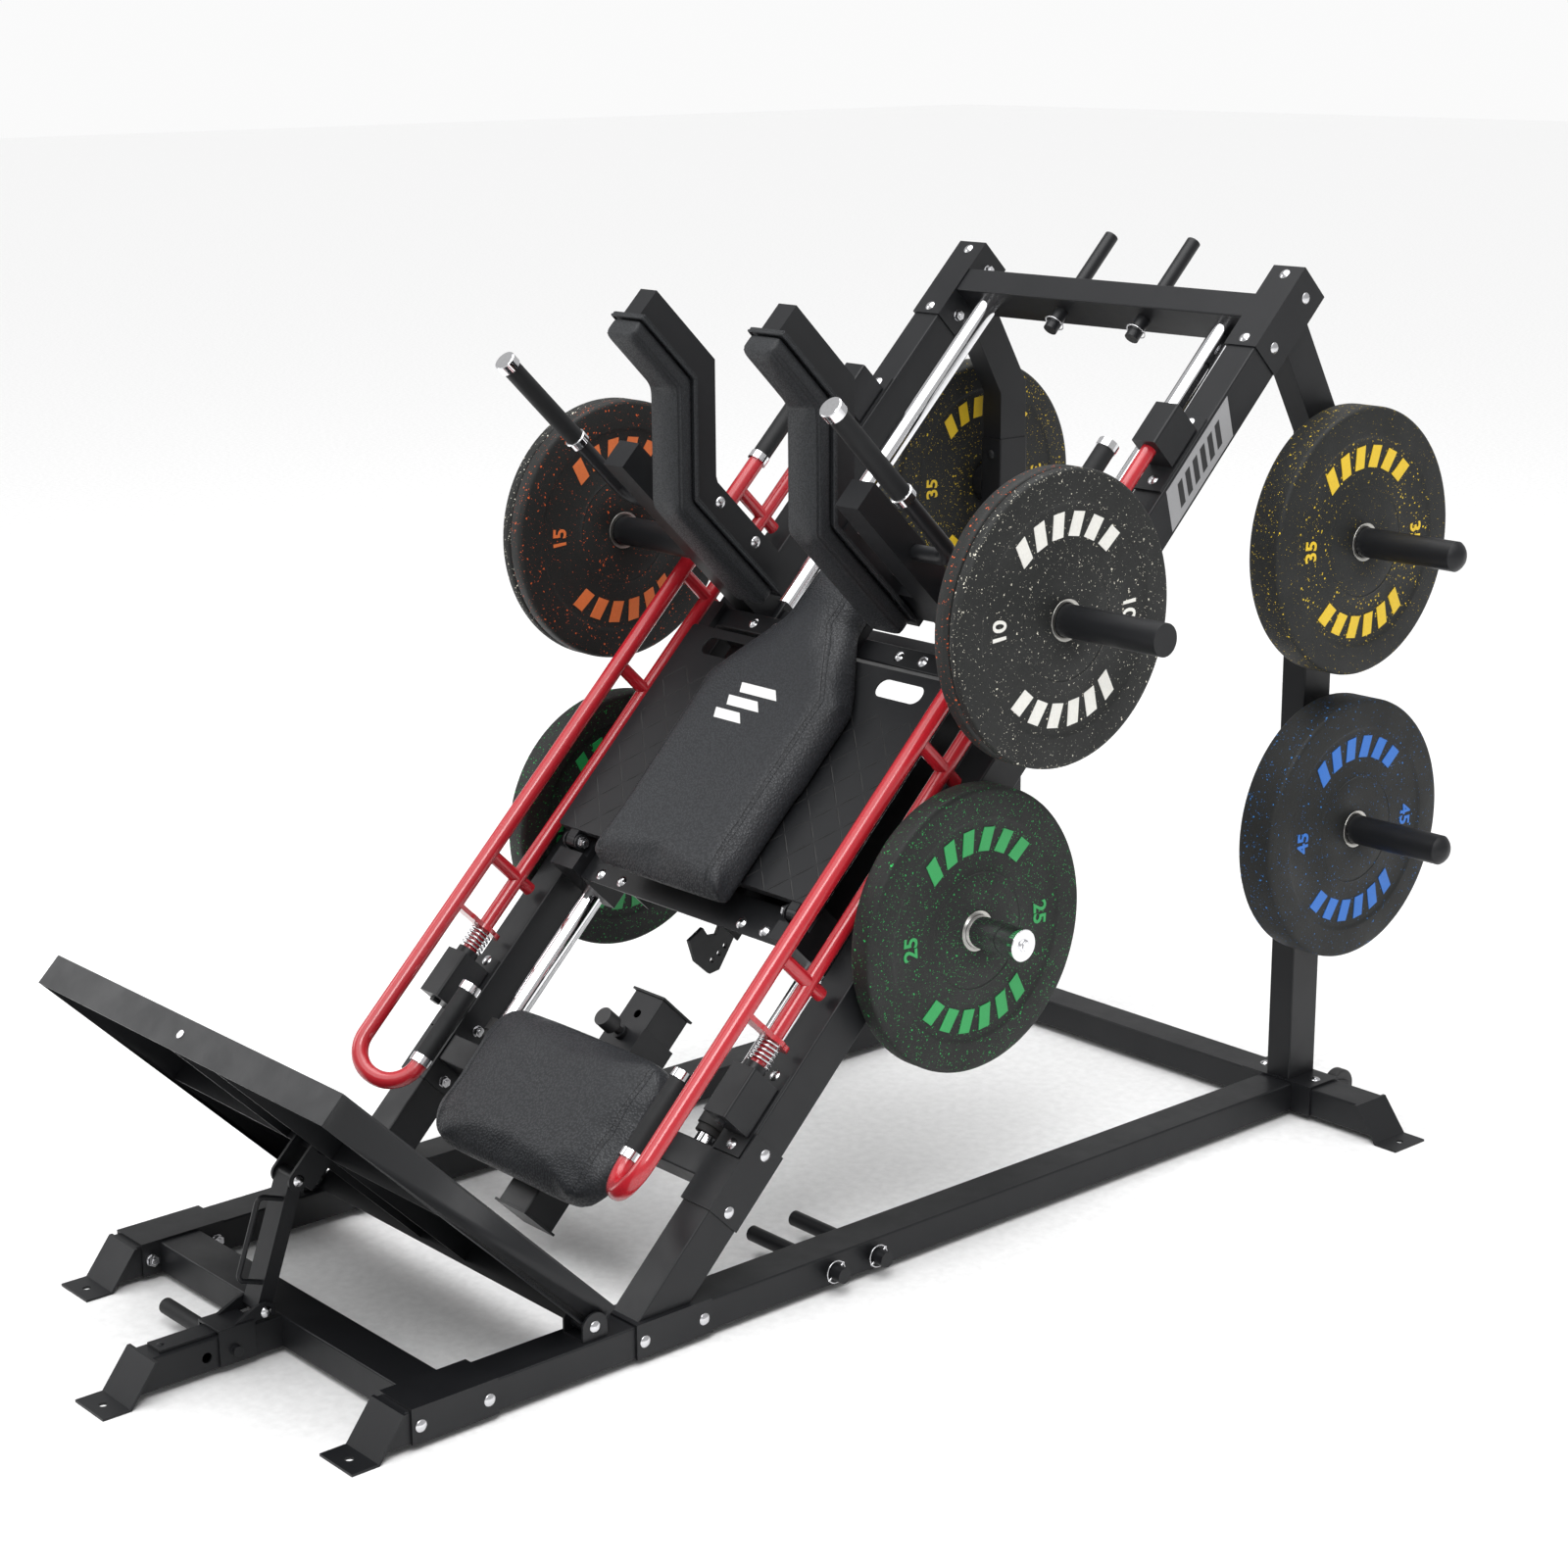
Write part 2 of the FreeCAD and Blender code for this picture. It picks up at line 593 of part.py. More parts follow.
# ------------------------------------------------------------------ safety bars
flange_s = spring_s[1] + 1.0
leg_x = bar_return_x
leg_h = bar_in_h + 26.5
points = [(rail_x, bar_top_s - bar_grip_len, bar_out_h), (rail_x, bar_bend_s - bar_bend_r, bar_out_h),
          (leg_x, bar_bend_s - bar_bend_r, leg_h), (leg_x, bar_bend_s + 154, leg_h)]
bar = sweep(points, bar_r + 1.5, bar_bend_r - 1.0)
pivot = rod((rail_x, low_block_s[0] + 9, bar_in_h), (rail_x, bar_in_top_s, bar_in_h), bar_r)
bar = fuse(bar, pivot)
for s in bar_tie_s:
    bar = bar.fuse(rod((rail_x, s, bar_out_h), (rail_x, s, bar_in_h - bar_stub), bar_r - 1.0))
flange = rod((rail_x, flange_s, bar_in_h), (rail_x, flange_s + 8, bar_in_h), 21.0)
for end_h in (bar_in_h - 18.0, bar_in_h + 40.0):
    flange = flange.fuse(rod((rail_x, flange_s, end_h), (rail_x, flange_s + 8, end_h), 16.0))
bar = fuse(bar, flange, box(rail_x - 14, rail_x + 14, flange_s, flange_s + 8, bar_in_h, bar_out_h))
grips = [((rail_x, bar_out_h), bar_top_s - bar_grip_len, bar_top_s),
         ((leg_x, leg_h), bar_bend_s, bar_bend_s + 154)]
for (x, h), s0, s1 in grips:
    collar = bar_grip_r + 1.5
    for a, b, r in ((s0, s0 + 14, collar), (s0 + 14, s1 - 14, bar_grip_r), (s1 - 14, s1, collar)):
        bar = bar.fuse(rod((x, a, h), (x, b, h), r))
put_pair("safety_bar", slope(bar.removeSplitter()))

# ------------------------------------------------------------------ carriage
for side in (-1, 1):
    for h in (200.0, 305.0):
        through_bolt((side * (arm_x - arm_w / 2), 1281, h), (side * (arm_x + arm_w / 2 + plate), 1281, h),
                     True, car_holes, car_bolts, car_bolts)
    hinge_x = (side * (rod_x + 17), side * (rod_x - 17))
    through_bolt((hinge_x[0], hinge_s, hinge_h), (hinge_x[1], hinge_s, hinge_h), True,
                 car_holes, car_bolts, car_bolts)
    for x in (150.0, 205.0):
        through_bolt((side * x, 706, 34), (side * x, 706, 30), True, car_holes, car_bolts, car_bolts)
        through_bolt((side * x, 1206, 62), (side * x, 1206, 20), True, car_holes, car_bolts, car_bolts)

half = car_tube / 2
tube_h = (rod_h - half, rod_h + half)
side_x = (rod_x - half, rod_x + half)
body = rounded(box(side_x[0], side_x[1], car_low_s, car_top_s, *tube_h), edge, (0, 1, 0))
front = box(side_x[0], side_x[1], car_low_s, hinge_s - 16, tube_h[1] - edge, hinge_h - 4)
front = front.fuse(box(side_x[0], side_x[1], car_low_s, hinge_s + 30, tube_h[1] - edge, hinge_h - 16))
post = box(rod_x + 5 - post_w / 2, rod_x + 5 + post_w / 2, post_s - post_w / 2, post_s + post_w / 2,
           tube_h[1] - edge, post_top_h)
post = post.cut(box(rod_x + 5 - post_w / 2 + wall, rod_x + 5 + post_w / 2 - wall,
                    post_s - post_w / 2 + wall, post_s + post_w / 2 - wall,
                    tube_h[1] + wall, post_top_h - wall))
post = post.cut(rod((rod_x + 5, post_s, 20), (rod_x + 5, post_s + post_w, 20), 4.0))
arm_in = arm_x + arm_w / 2
stub = box(arm_in, rod_x, arm_s + 5, arm_s + arm_d, 105, 170)
side_plate = box(arm_in, arm_in + plate, arm_s + 1, arm_s + arm_d + 10, 100, 330)
hanger = box(side_x[0], side_x[1], low_horn_s - 34, low_horn_s + 34, low_horn_h - 34, tube_h[0] + edge)
hanger = rounded(hanger, 10.0, (1, 0, 0))
hanger = hanger.cut(rod((0, low_horn_s, low_horn_h), (400, low_horn_s, low_horn_h), horn_r + slide_gap))
stub = stub.cut(box(rod_x + 5 - post_w / 2, 400, 0, 2000, 100, 200))
body = fuse(body, front, post, hanger, stub, side_plate)
for x in (rod_x - 17, rod_x + 13):
    ear = rod((x, hinge_s, hinge_h), (x + plate, hinge_s, hinge_h), 13.0)
    body = body.fuse(ear.fuse(box(x, x + plate, hinge_s - 13, hinge_s + 13, hinge_h - 16, hinge_h)))
body = body.cut(rod((rod_x, 0, rod_h), (rod_x, 2200, rod_h), rod_r + slide_gap))
body = body.cut(rod((rod_x, car_low_s + 60, rod_h), (rod_x, car_top_s - 60, rod_h), rod_r + 6))
body = drilled(slope(body.removeSplitter()), car_holes)
put_pair("carriage_side", body)

# crossbars between the bearing tubes and behind the platform
span = side_x[0]
low_bar = (hinge_s + 22, hinge_s + 62, tube_h[0] + 8, tube_h[1] - 8)
bars = [tube(-span, span, *low_bar, "x"),
        tube(-span, span, car_top_s - 62, car_top_s - 12, tube_h[0] + 8, tube_h[1] - 8, "x")]
low_plate = box(-span, span, car_low_s, car_low_s + 62, 30, 34)
bars += [low_plate, tube(-side_x[1], side_x[1], 1187, 1225, 20, hinge_h, "x"),
         box(-62, 62, 1187, 1310, hinge_h, panel_h)]
for side in (-1, 1):
    bars.append(box(side * 110, side * 114, car_low_s + 2, low_bar[1], tube_h[1] - 8, 30))
    bars.append(box(side * side_x[0], side * side_x[1], 1187, 1225, tube_h[1], 20))
    bars.append(box(side * 285, side * 312, 1120, 1225, hinge_h, panel_h - panel_t))
put("carriage_crossbars", *[drilled(slope(bar), car_holes) for bar in bars])

# tread platform: bent sheet with hand slots, a lug at each hinge
sheet = box(-panel_half, panel_half, panel_s[0], panel_s[1], panel_h - panel_lip, panel_h)
sheet = rounded(sheet, 6.0, (0, 0, 1))
under = box(-panel_half + panel_t, panel_half - panel_t, panel_s[0] + panel_t, panel_s[1] - panel_t,
            panel_h - panel_lip - 1, panel_h - panel_t)
sheet = sheet.cut(rounded(under, 3.5, (0, 0, 1)))
for side in (-1, 1):
    sheet = sheet.cut(box(side * 280, side * 316, 1118, 1230, 40, panel_h - panel_t))
for side in (-1, 1):
    slot = box(side * slot_x[0], side * slot_x[1], slot_s - slot_r, slot_s + slot_r, 0, 100)
    sheet = sheet.cut(rounded(slot, slot_r - 0.5, (0, 0, 1)))
for side in (-1, 1):
    x0, x1 = side * rod_x - 10, side * rod_x + 10
    lug = rod((x0, hinge_s, hinge_h), (x1, hinge_s, hinge_h), 12.0)
    sheet = sheet.fuse(lug.fuse(box(x0, x1, hinge_s, panel_s[0] + 20, hinge_h, panel_h - panel_t)))
put("platform", drilled(slope(sheet.removeSplitter()), car_holes))

# back pad
pad_low_s, pad_top_s = 697.0, 1320.0
pad_h = (panel_h + 2, panel_h + 2 + pad_t)
outline = [(-168, pad_low_s), (168, pad_low_s), (175, 1075), (82, 1211), (75, pad_top_s),
           (-75, pad_top_s), (-82, 1211), (-175, 1075)]
wire = Part.makePolygon([V(x, s, pad_h[0]) for x, s in outline + [outline[0]]])
pad = Part.Face(wire).extrude(V(0, 0, pad_t))
upright_edges = [e for e in pad.Edges if abs(e.Vertexes[0].Z - e.Vertexes[1].Z) > 1]
pad = pad.makeFillet(22.0, upright_edges)
front_edges = [e for e in pad.Edges if min(v.Z for v in e.Vertexes) > pad_h[1] - 0.1]
pad = pad.makeFillet(16.0, front_edges)
put("back_pad", slope(pad))


# shoulder arms and their pads
def crank(front_s, depth, low_h, knee_h, top_h, x0, x1):
    """Bar going up along h, then straight up, then along h again.

    knee_h is its back line's first corner.
    """
    jog = 138.0
    mitre = depth * tan(radians(22.5))
    back_s = front_s + depth
    points = [(front_s, low_h), (front_s, knee_h + mitre), (front_s + jog, knee_h + mitre + jog),
              (front_s + jog, top_h), (back_s + jog, top_h), (back_s + jog, knee_h + jog),
              (back_s, knee_h), (back_s, low_h)]
    return prism(points, x0, x1)


arm = crank(arm_s, arm_d, 90.0, arm_knee, arm_top_h, arm_x - arm_w / 2, arm_x + arm_w / 2)
hollow = crank(arm_s + wall, arm_d - 2 * wall, 80.0, arm_knee + wall * tan(radians(22.5)), arm_top_h - wall,
               arm_x - arm_w / 2 + wall, arm_x + arm_w / 2 - wall)
put_pair("shoulder_arm", drilled(slope(arm.cut(hollow)), car_holes))
pad_x = (arm_x - 40.0, arm_x + 40.0)
full = pad_depth + board
cushion = crank(arm_s - full, full, 118.0, arm_knee + arm_d * tan(radians(22.5)), arm_top_h + 6, *pad_x)
cushion = rounded(cushion, 8.0, (1, 0, 0))
cushion = cushion.cut(crank(arm_s, arm_d, 90.0, arm_knee, arm_top_h + 10, *pad_x))
put_pair("shoulder_pad", slope(cushion))

# horns for plates, and the handles bent out of the posts
post_face = rod_x + 5 + post_w / 2
horn = rod((post_face, post_s, horn_h), (horn_end_x, post_s, horn_h), horn_r)
put("upper_horns", slope(horn), slope(mirror(horn)))
low = rod((-low_horn_end_x, low_horn_s, low_horn_h), (low_horn_end_x, low_horn_s, low_horn_h), horn_r)
tip = aim(hexagon(8.0, 6.0), (low_horn_end_x, low_horn_s, low_horn_h), (1, 0, 0))
collar = rod((side_x[1], low_horn_s, low_horn_h), (side_x[1] + 102, low_horn_s, low_horn_h), horn_r + 4)
horns = fuse(low, tip, collar, mirror(tip), mirror(collar))
put("lower_horns", slope(horns))

points = [(post_face, post_s + 4, handle_h), (handle_x, post_s + 4, handle_h),
          (handle_x, post_s + 4, handle_top_h - 16)]
handle = sweep(points, handle_r, 34.0)
grip_parts = ((430, 445, grip_r + 2), (445, handle_top_h - 18, grip_r),
              (handle_top_h - 18, handle_top_h, grip_r + 2))
for h0, h1, r in grip_parts:
    handle = handle.fuse(rod((handle_x, post_s + 4, h0), (handle_x, post_s + 4, h1), r))
put_pair("handle", slope(handle.removeSplitter()))

# hook arm under the platform
hook = [(700, -34), (668, -25), (650, -60), (652, -100), (668, -112), (700, -106), (745, -96), (790, -84),
        (805, -68), (800, -30), (770, -40), (735, -58), (708, -66), (696, -52)]
arm_plate = prism(hook, -4, 4)
for s, h in ((672, -88), (688, -92), (704, -94)):
    arm_plate = arm_plate.cut(rod((-10, s, h), (10, s, h), 4.5))
arm_plate = arm_plate.fuse(box(-4, 4, 770, low_horn_s, -92, -62))
arm_plate = arm_plate.cut(rod((-10, low_horn_s, low_horn_h), (10, low_horn_s, low_horn_h), horn_r))
arm_plate = arm_plate.cut(box(-10, 10, *low_bar))
put("hook_arm", slope(arm_plate.removeSplitter()))
put("carriage_bolts", *car_bolts)

# ------------------------------------------------------------------ weight plates


def disc(x0, thick, s, h, sloping=True):
    """Bumper plate with a raised rim, a recessed face and a steel hub."""
    out = rod((x0, s, h), (x0 + thick, s, h), plate_r)
    rim = min(3.0, thick / 8)
    for x in (x0, x0 + thick - rim):
        ring = rod((x, s, h), (x + rim, s, h), plate_r * 0.78)
        ring = ring.cut(rod((x, s, h), (x + rim, s, h), plate_r * 0.41))
        out = out.cut(ring)
    out = out.cut(rod((x0 - 1, s, h), (x0 + thick + 1, s, h), plate_bore_r))
    return slope(out) if sloping else out


def disc_pair(name, x0, thick, s, h, sloping=True):
    put_pair("plate_" + name, disc(x0, thick, s, h, sloping))


upper_x = 500.0
disc_pair("15", upper_x, 30.0, post_s, horn_h)
disc_pair("10", upper_x + 30.0 + part_gap, 22.0, post_s, horn_h)
disc_pair("25", side_x[1] + 102 + part_gap, 44.0, low_horn_s, low_horn_h)
storage_x = rail_x + upright_w / 2 + storage_collar + part_gap
disc_pair("35", storage_x, 64.0, rear_y, storage_z[0], False)
put("plate_45_right", disc(storage_x, 72.0, rear_y, storage_z[1], False))

# ------------------------------------------------------------------ seat
post_back_h = post_front_h - 2 * post_half
seat_post = tube(-post_half, post_half, seat_post_s[0], seat_post_s[1], post_back_h, post_front_h, "y")
ends = [box(-post_half - 4, post_half + 4, s, s + 4, post_back_h - 4, post_front_h + 4)
        for s in (seat_post_s[0] - 4, seat_post_s[1])]
mount = box(-110, 110, 235, receiver_s[0] - 12, post_front_h, seat_h[0])
mount = mount.cut(box(-104, 104, 200, 400, post_front_h + 4, seat_h[0] - 4))
for i in range(2):
    s = lock_s + 40 * i
    seat_post = seat_post.cut(rod((0, s, post_front_h - 12), (0, s, 0), lock_pin_r + slide_gap))
put("seat_post", *[slope(shape) for shape in [seat_post, mount] + ends])
cushion = box(-seat_half, seat_half, seat_s[0], seat_s[1], *seat_h)
cushion = rounded(cushion, 45.0, (0, 0, 1))
rim_edges = [e for e in cushion.Edges if min(v.Z for v in e.Vertexes) > seat_h[1] - 0.1]
cushion = cushion.makeFillet(18.0, rim_edges)
put("seat_pad", slope(cushion))
pin = rod((0, lock_s, post_front_h + 0.5), (0, lock_s, 12), lock_pin_r)
pin = pin.fuse(rod((0, lock_s, 10), (0, lock_s, 38), 16.0))
put("seat_pin", slope(pin))

# ------------------------------------------------------------------ big foot plate
back_s = step_s[1] - step_sheet
inner_h = (step_h[0] + step_sheet, step_h[1] - step_sheet)
rib_x = 60.0
rib_h = (366.0, 369.0)
face = box(-step_half, step_half, back_s, step_s[1], *step_h)
edges = [box(-step_half, step_half, step_s[0], back_s, step_h[0], inner_h[0]),
         box(-step_half, step_half, step_s[0], back_s, inner_h[1], step_h[1])]
ribs = [box(-rib_x + 1.5, rib_x - 1.5, step_s[0] + 6, back_s, *rib_h)]
for side in (-1, 1):
    edges.append(box(side * (step_half - step_sheet), side * step_half, step_s[0], back_s, *inner_h))
    ribs.append(box(side * (rib_x - 1.5), side * (rib_x + 1.5), step_s[0] + 6, back_s, *inner_h))
    ribs.append(box(side * (rib_x + 1.5), side * (step_half - step_sheet), step_s[0] + 6, back_s, *rib_h))
hinge_local = ((step_hinge_y - slope_foot_y + step_hinge_z) / sqrt(2.0),
               (step_hinge_z - step_hinge_y + slope_foot_y) / sqrt(2.0))
top_local = ((strut_top[0] - slope_foot_y + strut_top[1]) / sqrt(2.0),
             (strut_top[1] - strut_top[0] + slope_foot_y) / sqrt(2.0))
in_x = step_hinge_x - step_hinge_gap / 2
arms, notches = [], []
for side in (-1, 1):
    arm = rod((side * (in_x + 2), *hinge_local), (side * (step_half + part_gap), *hinge_local), 13.0)
    arm = arm.fuse(box(side * (in_x + 4), side * step_half, hinge_local[0], back_s,
                       hinge_local[1] - 8, hinge_local[1] + 8))
    for sheet in edges:
        arm = arm.cut(sheet)
    arms.append(arm.removeSplitter())
    notches.append(slope(rod((side * 300, *hinge_local), (side * 400, *hinge_local), bolt_r + slide_gap)))
    notches.append(slope(box(side * (in_x - plate - 2), side * (in_x + 1.5), step_s[0] - 1, step_s[0] + 35,
                             step_h[0] - 1, inner_h[0] + 1)))
    notches.append(box(side * (in_x - plate - 2), side * (step_half + 5), 300, 450,
                       0, base_top + plate + 2.5))
ears = []
for x in (-strut_w / 2 - 5 - part_gap, strut_w / 2 + part_gap):
    ear = rod((x, *top_local), (x + 5, *top_local), 16.0)
    ear = ear.fuse(box(x, x + 5, top_local[0], back_s, top_local[1] - 30, top_local[1] + 16))
    ear = ear.cut(rod((-60, *top_local), (60, *top_local), bolt_r + open_gap))
    ribs[0] = ribs[0].cut(ear)
    ears.append(ear.removeSplitter())
sheets = []
for shape in [face] + edges + ribs + arms + ears:
    shape = slope(shape)
    for notch in notches:
        shape = shape.cut(notch)
    sheets += shape.Solids
put("foot_plate", *sheets)

# strut with its wire handle
run, rise = strut_top[0] - strut_low[0], strut_top[1] - strut_low[1]
length = hypot(run, rise)
tilt = degrees(atan2(run, rise))
strut = box(-strut_w / 2, strut_w / 2, -strut_d / 2, strut_d / 2, 0, length)
strut = strut.fuse(rod((-strut_w / 2, 0, length), (strut_w / 2, 0, length), strut_d / 2))
strut = strut.fuse(rod((-strut_w / 2, 0, 0), (strut_w / 2, 0, 0), strut_low_r))
strut = strut.cut(box(-strut_w / 2 + wall, strut_w / 2 - wall, -strut_d / 2 + wall, strut_d / 2 - wall,
                      14, length - 14))
strut = strut.cut(rod((0, 0, 30), (0, 50, 30), 4.0))
for z in (0, length):
    strut = strut.cut(rod((-60, 0, z), (60, 0, z), bolt_r + bolt_gap))
loop = sweep([(12, -strut_d / 2 + 1, 40), (12, -52, 40), (12, -52, 165), (12, -strut_d / 2 + 1, 165)],
             4.0, 10.0)
strut = strut.fuse(loop)
strut.rotate(V(0, 0, 0), V(1, 0, 0), -tilt)
strut.translate(V(0, strut_low[0], strut_low[1]))
put("strut", strut.removeSplitter())
pins = []
for (y, z), ear_t in ((strut_top, 5.0), (strut_low, 6.0)):
    half = strut_w / 2 + ear_t + 2 * part_gap
    pin = rod((-half - 12, y, z), (half, y, z), bolt_r)
    head = aim(dome(9.0, 4.5), (half, y, z), (1, 0, 0))
    pin = fuse(pin, head, aim(hexagon(8.5, 8.0), (-half, y, z), (-1, 0, 0)))
    pins.append(pin)
put("strut_bolts", *pins)

# slider on the tongue
gap = part_gap
clear = tongue_w / 2 + gap
out_x = clear + 4.0
slide_y = (2.0, strut_low[0] + 18)
slider = box(-out_x, out_x, slide_y[0], 62, base_lift + 3, base_top + 5 + gap + 4)
slider = slider.cut(box(-clear, clear, slide_y[0] - 1, 200, base_lift - 5, base_top + 5 + gap))
ears = []
for x in (-strut_w / 2 - 6 - gap, strut_w / 2 + gap):
    points = [(20, base_top + 5 + gap), (62, base_top + 5 + gap), (strut_low[0] + 16, strut_low[1] - 8),
              (strut_low[0] + 16, strut_low[1] + 8), (strut_low[0], strut_low[1] + 16),
              (strut_low[0] - 18, strut_low[1] + 12)]
    ears.append(prism(points, x, x + 6))
slider = fuse(slider, *ears)
slider = slider.cut(rod((-80, strut_low[0], strut_low[1]), (80, strut_low[0], strut_low[1]),
                        bolt_r + slide_gap))
slider = slider.cut(rod((-80, lock_y, lock_z), (0, lock_y, lock_z), lock_r + slide_gap))
slider = slider.fuse(rod((out_x - 1, lock_y, lock_z), (out_x + 8, lock_y, lock_z), lock_r))
put("slider", slider.removeSplitter())
lock = rod((-170, lock_y, lock_z), (-out_x - 8, lock_y, lock_z), 12.5)
lock = lock.fuse(rod((-out_x - 10, lock_y, lock_z), (-tongue_w / 2 - 2 * part_gap, lock_y, lock_z),
                     lock_r))
put("slider_pin", lock.removeSplitter())

# ------------------------------------------------------------------ pegs, ring pins, bolts
pin_r = 1.7
pegs, rings = [], []


def ringed_peg(start, end, along, at, across, carry):
    """Peg with a cross hole at one point, and the wire ring pin that sits in it."""
    start, end, at, across = V(*start), V(*end), V(*at), V(*across)
    stick_a, stick_b = at - across * (peg_r + 7), at + across * (peg_r + 7)
    peg = rod(start, end, peg_r).cut(rod(stick_a, stick_b, pin_r + 0.1))
    loop = Part.makeTorus(peg_r + 5.0, 1.2, at, V(*along))
    pegs.append(carry(peg))
    rings.append(carry(rod(stick_a, stick_b, pin_r).fuse(loop).removeSplitter()))


def same(shape):
    return shape


for side in (-1, 1):
    for y in peg_y:
        ringed_peg((side * (peg_end_x - peg_len), y, base_mid_z), (side * peg_end_x, y, base_mid_z),
                   (1, 0, 0), (side * (peg_end_x - 20), y, base_mid_z), (0, 0.8, 0.6), same)
    x = side * top_peg_x
    ringed_peg((x, top_peg_s[0], rod_h), (x, top_peg_s[1], rod_h), (0, 1, 0),
               (x, top_peg_s[0] + 16, rod_h), (1, 0, 0), slope)
put("band_pegs", *pegs)
put("peg_rings", *rings)
put("frame_bolts", *frame_bolts)
put("frame_nuts", *frame_nuts)
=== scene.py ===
import math
import bpy
import bmesh
from mathutils import Matrix, Vector
from mathutils.bvhtree import BVHTree
from mathutils.kdtree import KDTree


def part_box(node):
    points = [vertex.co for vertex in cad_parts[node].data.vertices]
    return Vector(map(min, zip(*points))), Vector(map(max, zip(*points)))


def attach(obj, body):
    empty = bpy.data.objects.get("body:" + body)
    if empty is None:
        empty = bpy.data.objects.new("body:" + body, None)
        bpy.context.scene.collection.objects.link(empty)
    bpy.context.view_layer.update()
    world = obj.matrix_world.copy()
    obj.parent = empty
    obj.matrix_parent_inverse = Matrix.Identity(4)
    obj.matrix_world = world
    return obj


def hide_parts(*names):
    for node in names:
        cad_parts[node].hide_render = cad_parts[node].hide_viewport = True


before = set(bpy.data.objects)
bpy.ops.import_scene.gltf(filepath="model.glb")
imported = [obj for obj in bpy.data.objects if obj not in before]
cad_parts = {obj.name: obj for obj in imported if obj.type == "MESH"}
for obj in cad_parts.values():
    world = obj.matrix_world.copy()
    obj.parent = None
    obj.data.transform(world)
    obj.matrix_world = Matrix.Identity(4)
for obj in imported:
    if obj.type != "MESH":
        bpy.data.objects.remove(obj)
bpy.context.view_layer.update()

# ---------------------------------------------------------------- places, metres
RAIL_DEPTH = 0.070
rail_low, rail_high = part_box("main_rail_right")
SLOPE_FOOT = rail_high.y - rail_high.z - RAIL_DEPTH / math.sqrt(2)
SLOPE = Matrix.Translation((0, SLOPE_FOOT, 0)) @ Matrix.Rotation(math.radians(45), 4, "X")
OFF_SLOPE = Vector((0, -1, 1)).normalized()


def on_slope(x, s, h):
    """Point given across, up the rails and off their front faces, in millimetres."""
    return SLOPE @ Vector((x / 1000, s / 1000, h / 1000))


# ---------------------------------------------------------------- node building
def put_node(tree, kind, inputs=None, **settings):
    """Adds a node; an input is given as a value or as the socket that feeds it."""
    node = tree.nodes.new(kind)
    for name, value in settings.items():
        setattr(node, name, value)
    for name, value in (inputs or {}).items():
        if isinstance(value, bpy.types.NodeSocket):
            tree.links.new(value, node.inputs[name])
        else:
            node.inputs[name].default_value = value
    return node


def new_group(name, kind, inputs, outputs):
    """Node group with named sockets: inputs are (name, socket type, default)."""
    tree = bpy.data.node_groups.new(name, kind)
    for label, socket, value in inputs:
        made = tree.interface.new_socket(name=label, in_out="INPUT", socket_type=socket)
        if value is not None:
            made.default_value = value
    for label, socket in outputs:
        tree.interface.new_socket(name=label, in_out="OUTPUT", socket_type=socket)
    start = tree.nodes.new("NodeGroupInput")
    end = tree.nodes.new("NodeGroupOutput")
    return tree, start, end


FLOAT, COLOUR, VECTOR = "NodeSocketFloat", "NodeSocketColor", "NodeSocketVector"


def make_fine_coat():
    """Powder coat or moulded skin: a fine height and a slow change of sheen."""
    tree, start, end = new_group(
        "fine_coat", "ShaderNodeTree",
        [("Grain Size", FLOAT, 900.0), ("Patch Size", FLOAT, 9.0), ("Low Sheen", FLOAT, 0.4),
         ("High Sheen", FLOAT, 0.55)],
        [("Height", FLOAT), ("Roughness", FLOAT)])
    where = put_node(tree, "ShaderNodeTexCoord")
    fine = put_node(tree, "ShaderNodeTexNoise", {"Vector": where.outputs["Object"],
                    "Scale": start.outputs["Grain Size"], "Detail": 2.0, "Roughness": 0.6})
    patch = put_node(tree, "ShaderNodeTexNoise", {"Vector": where.outputs["Object"],
                     "Scale": start.outputs["Patch Size"], "Detail": 4.0, "Roughness": 0.65})
    sheen = put_node(tree, "ShaderNodeMapRange", {"Value": patch.outputs["Fac"],
                     "From Min": 0.3, "From Max": 0.7,
                     "To Min": start.outputs["Low Sheen"], "To Max": start.outputs["High Sheen"]})
    tree.links.new(fine.outputs["Fac"], end.inputs["Height"])
    tree.links.new(sheen.outputs["Result"], end.inputs["Roughness"])
    return tree


def drifting(tree, where, size, wander):
    """Object coordinates pushed about by a noise of one size, by a distance."""
    drift = put_node(tree, "ShaderNodeTexNoise", {"Vector": where.outputs["Object"], "Scale": size,
                     "Detail": 2.0})
    centred = put_node(tree, "ShaderNodeVectorMath", {0: drift.outputs["Color"], 1: (0.5, 0.5, 0.5)},
                       operation="SUBTRACT")
    scaled = put_node(tree, "ShaderNodeVectorMath", {0: centred.outputs["Vector"], "Scale": wander},
                      operation="SCALE")
    return put_node(tree, "ShaderNodeVectorMath", {0: where.outputs["Object"], 1: scaled.outputs["Vector"]},
                    operation="ADD")


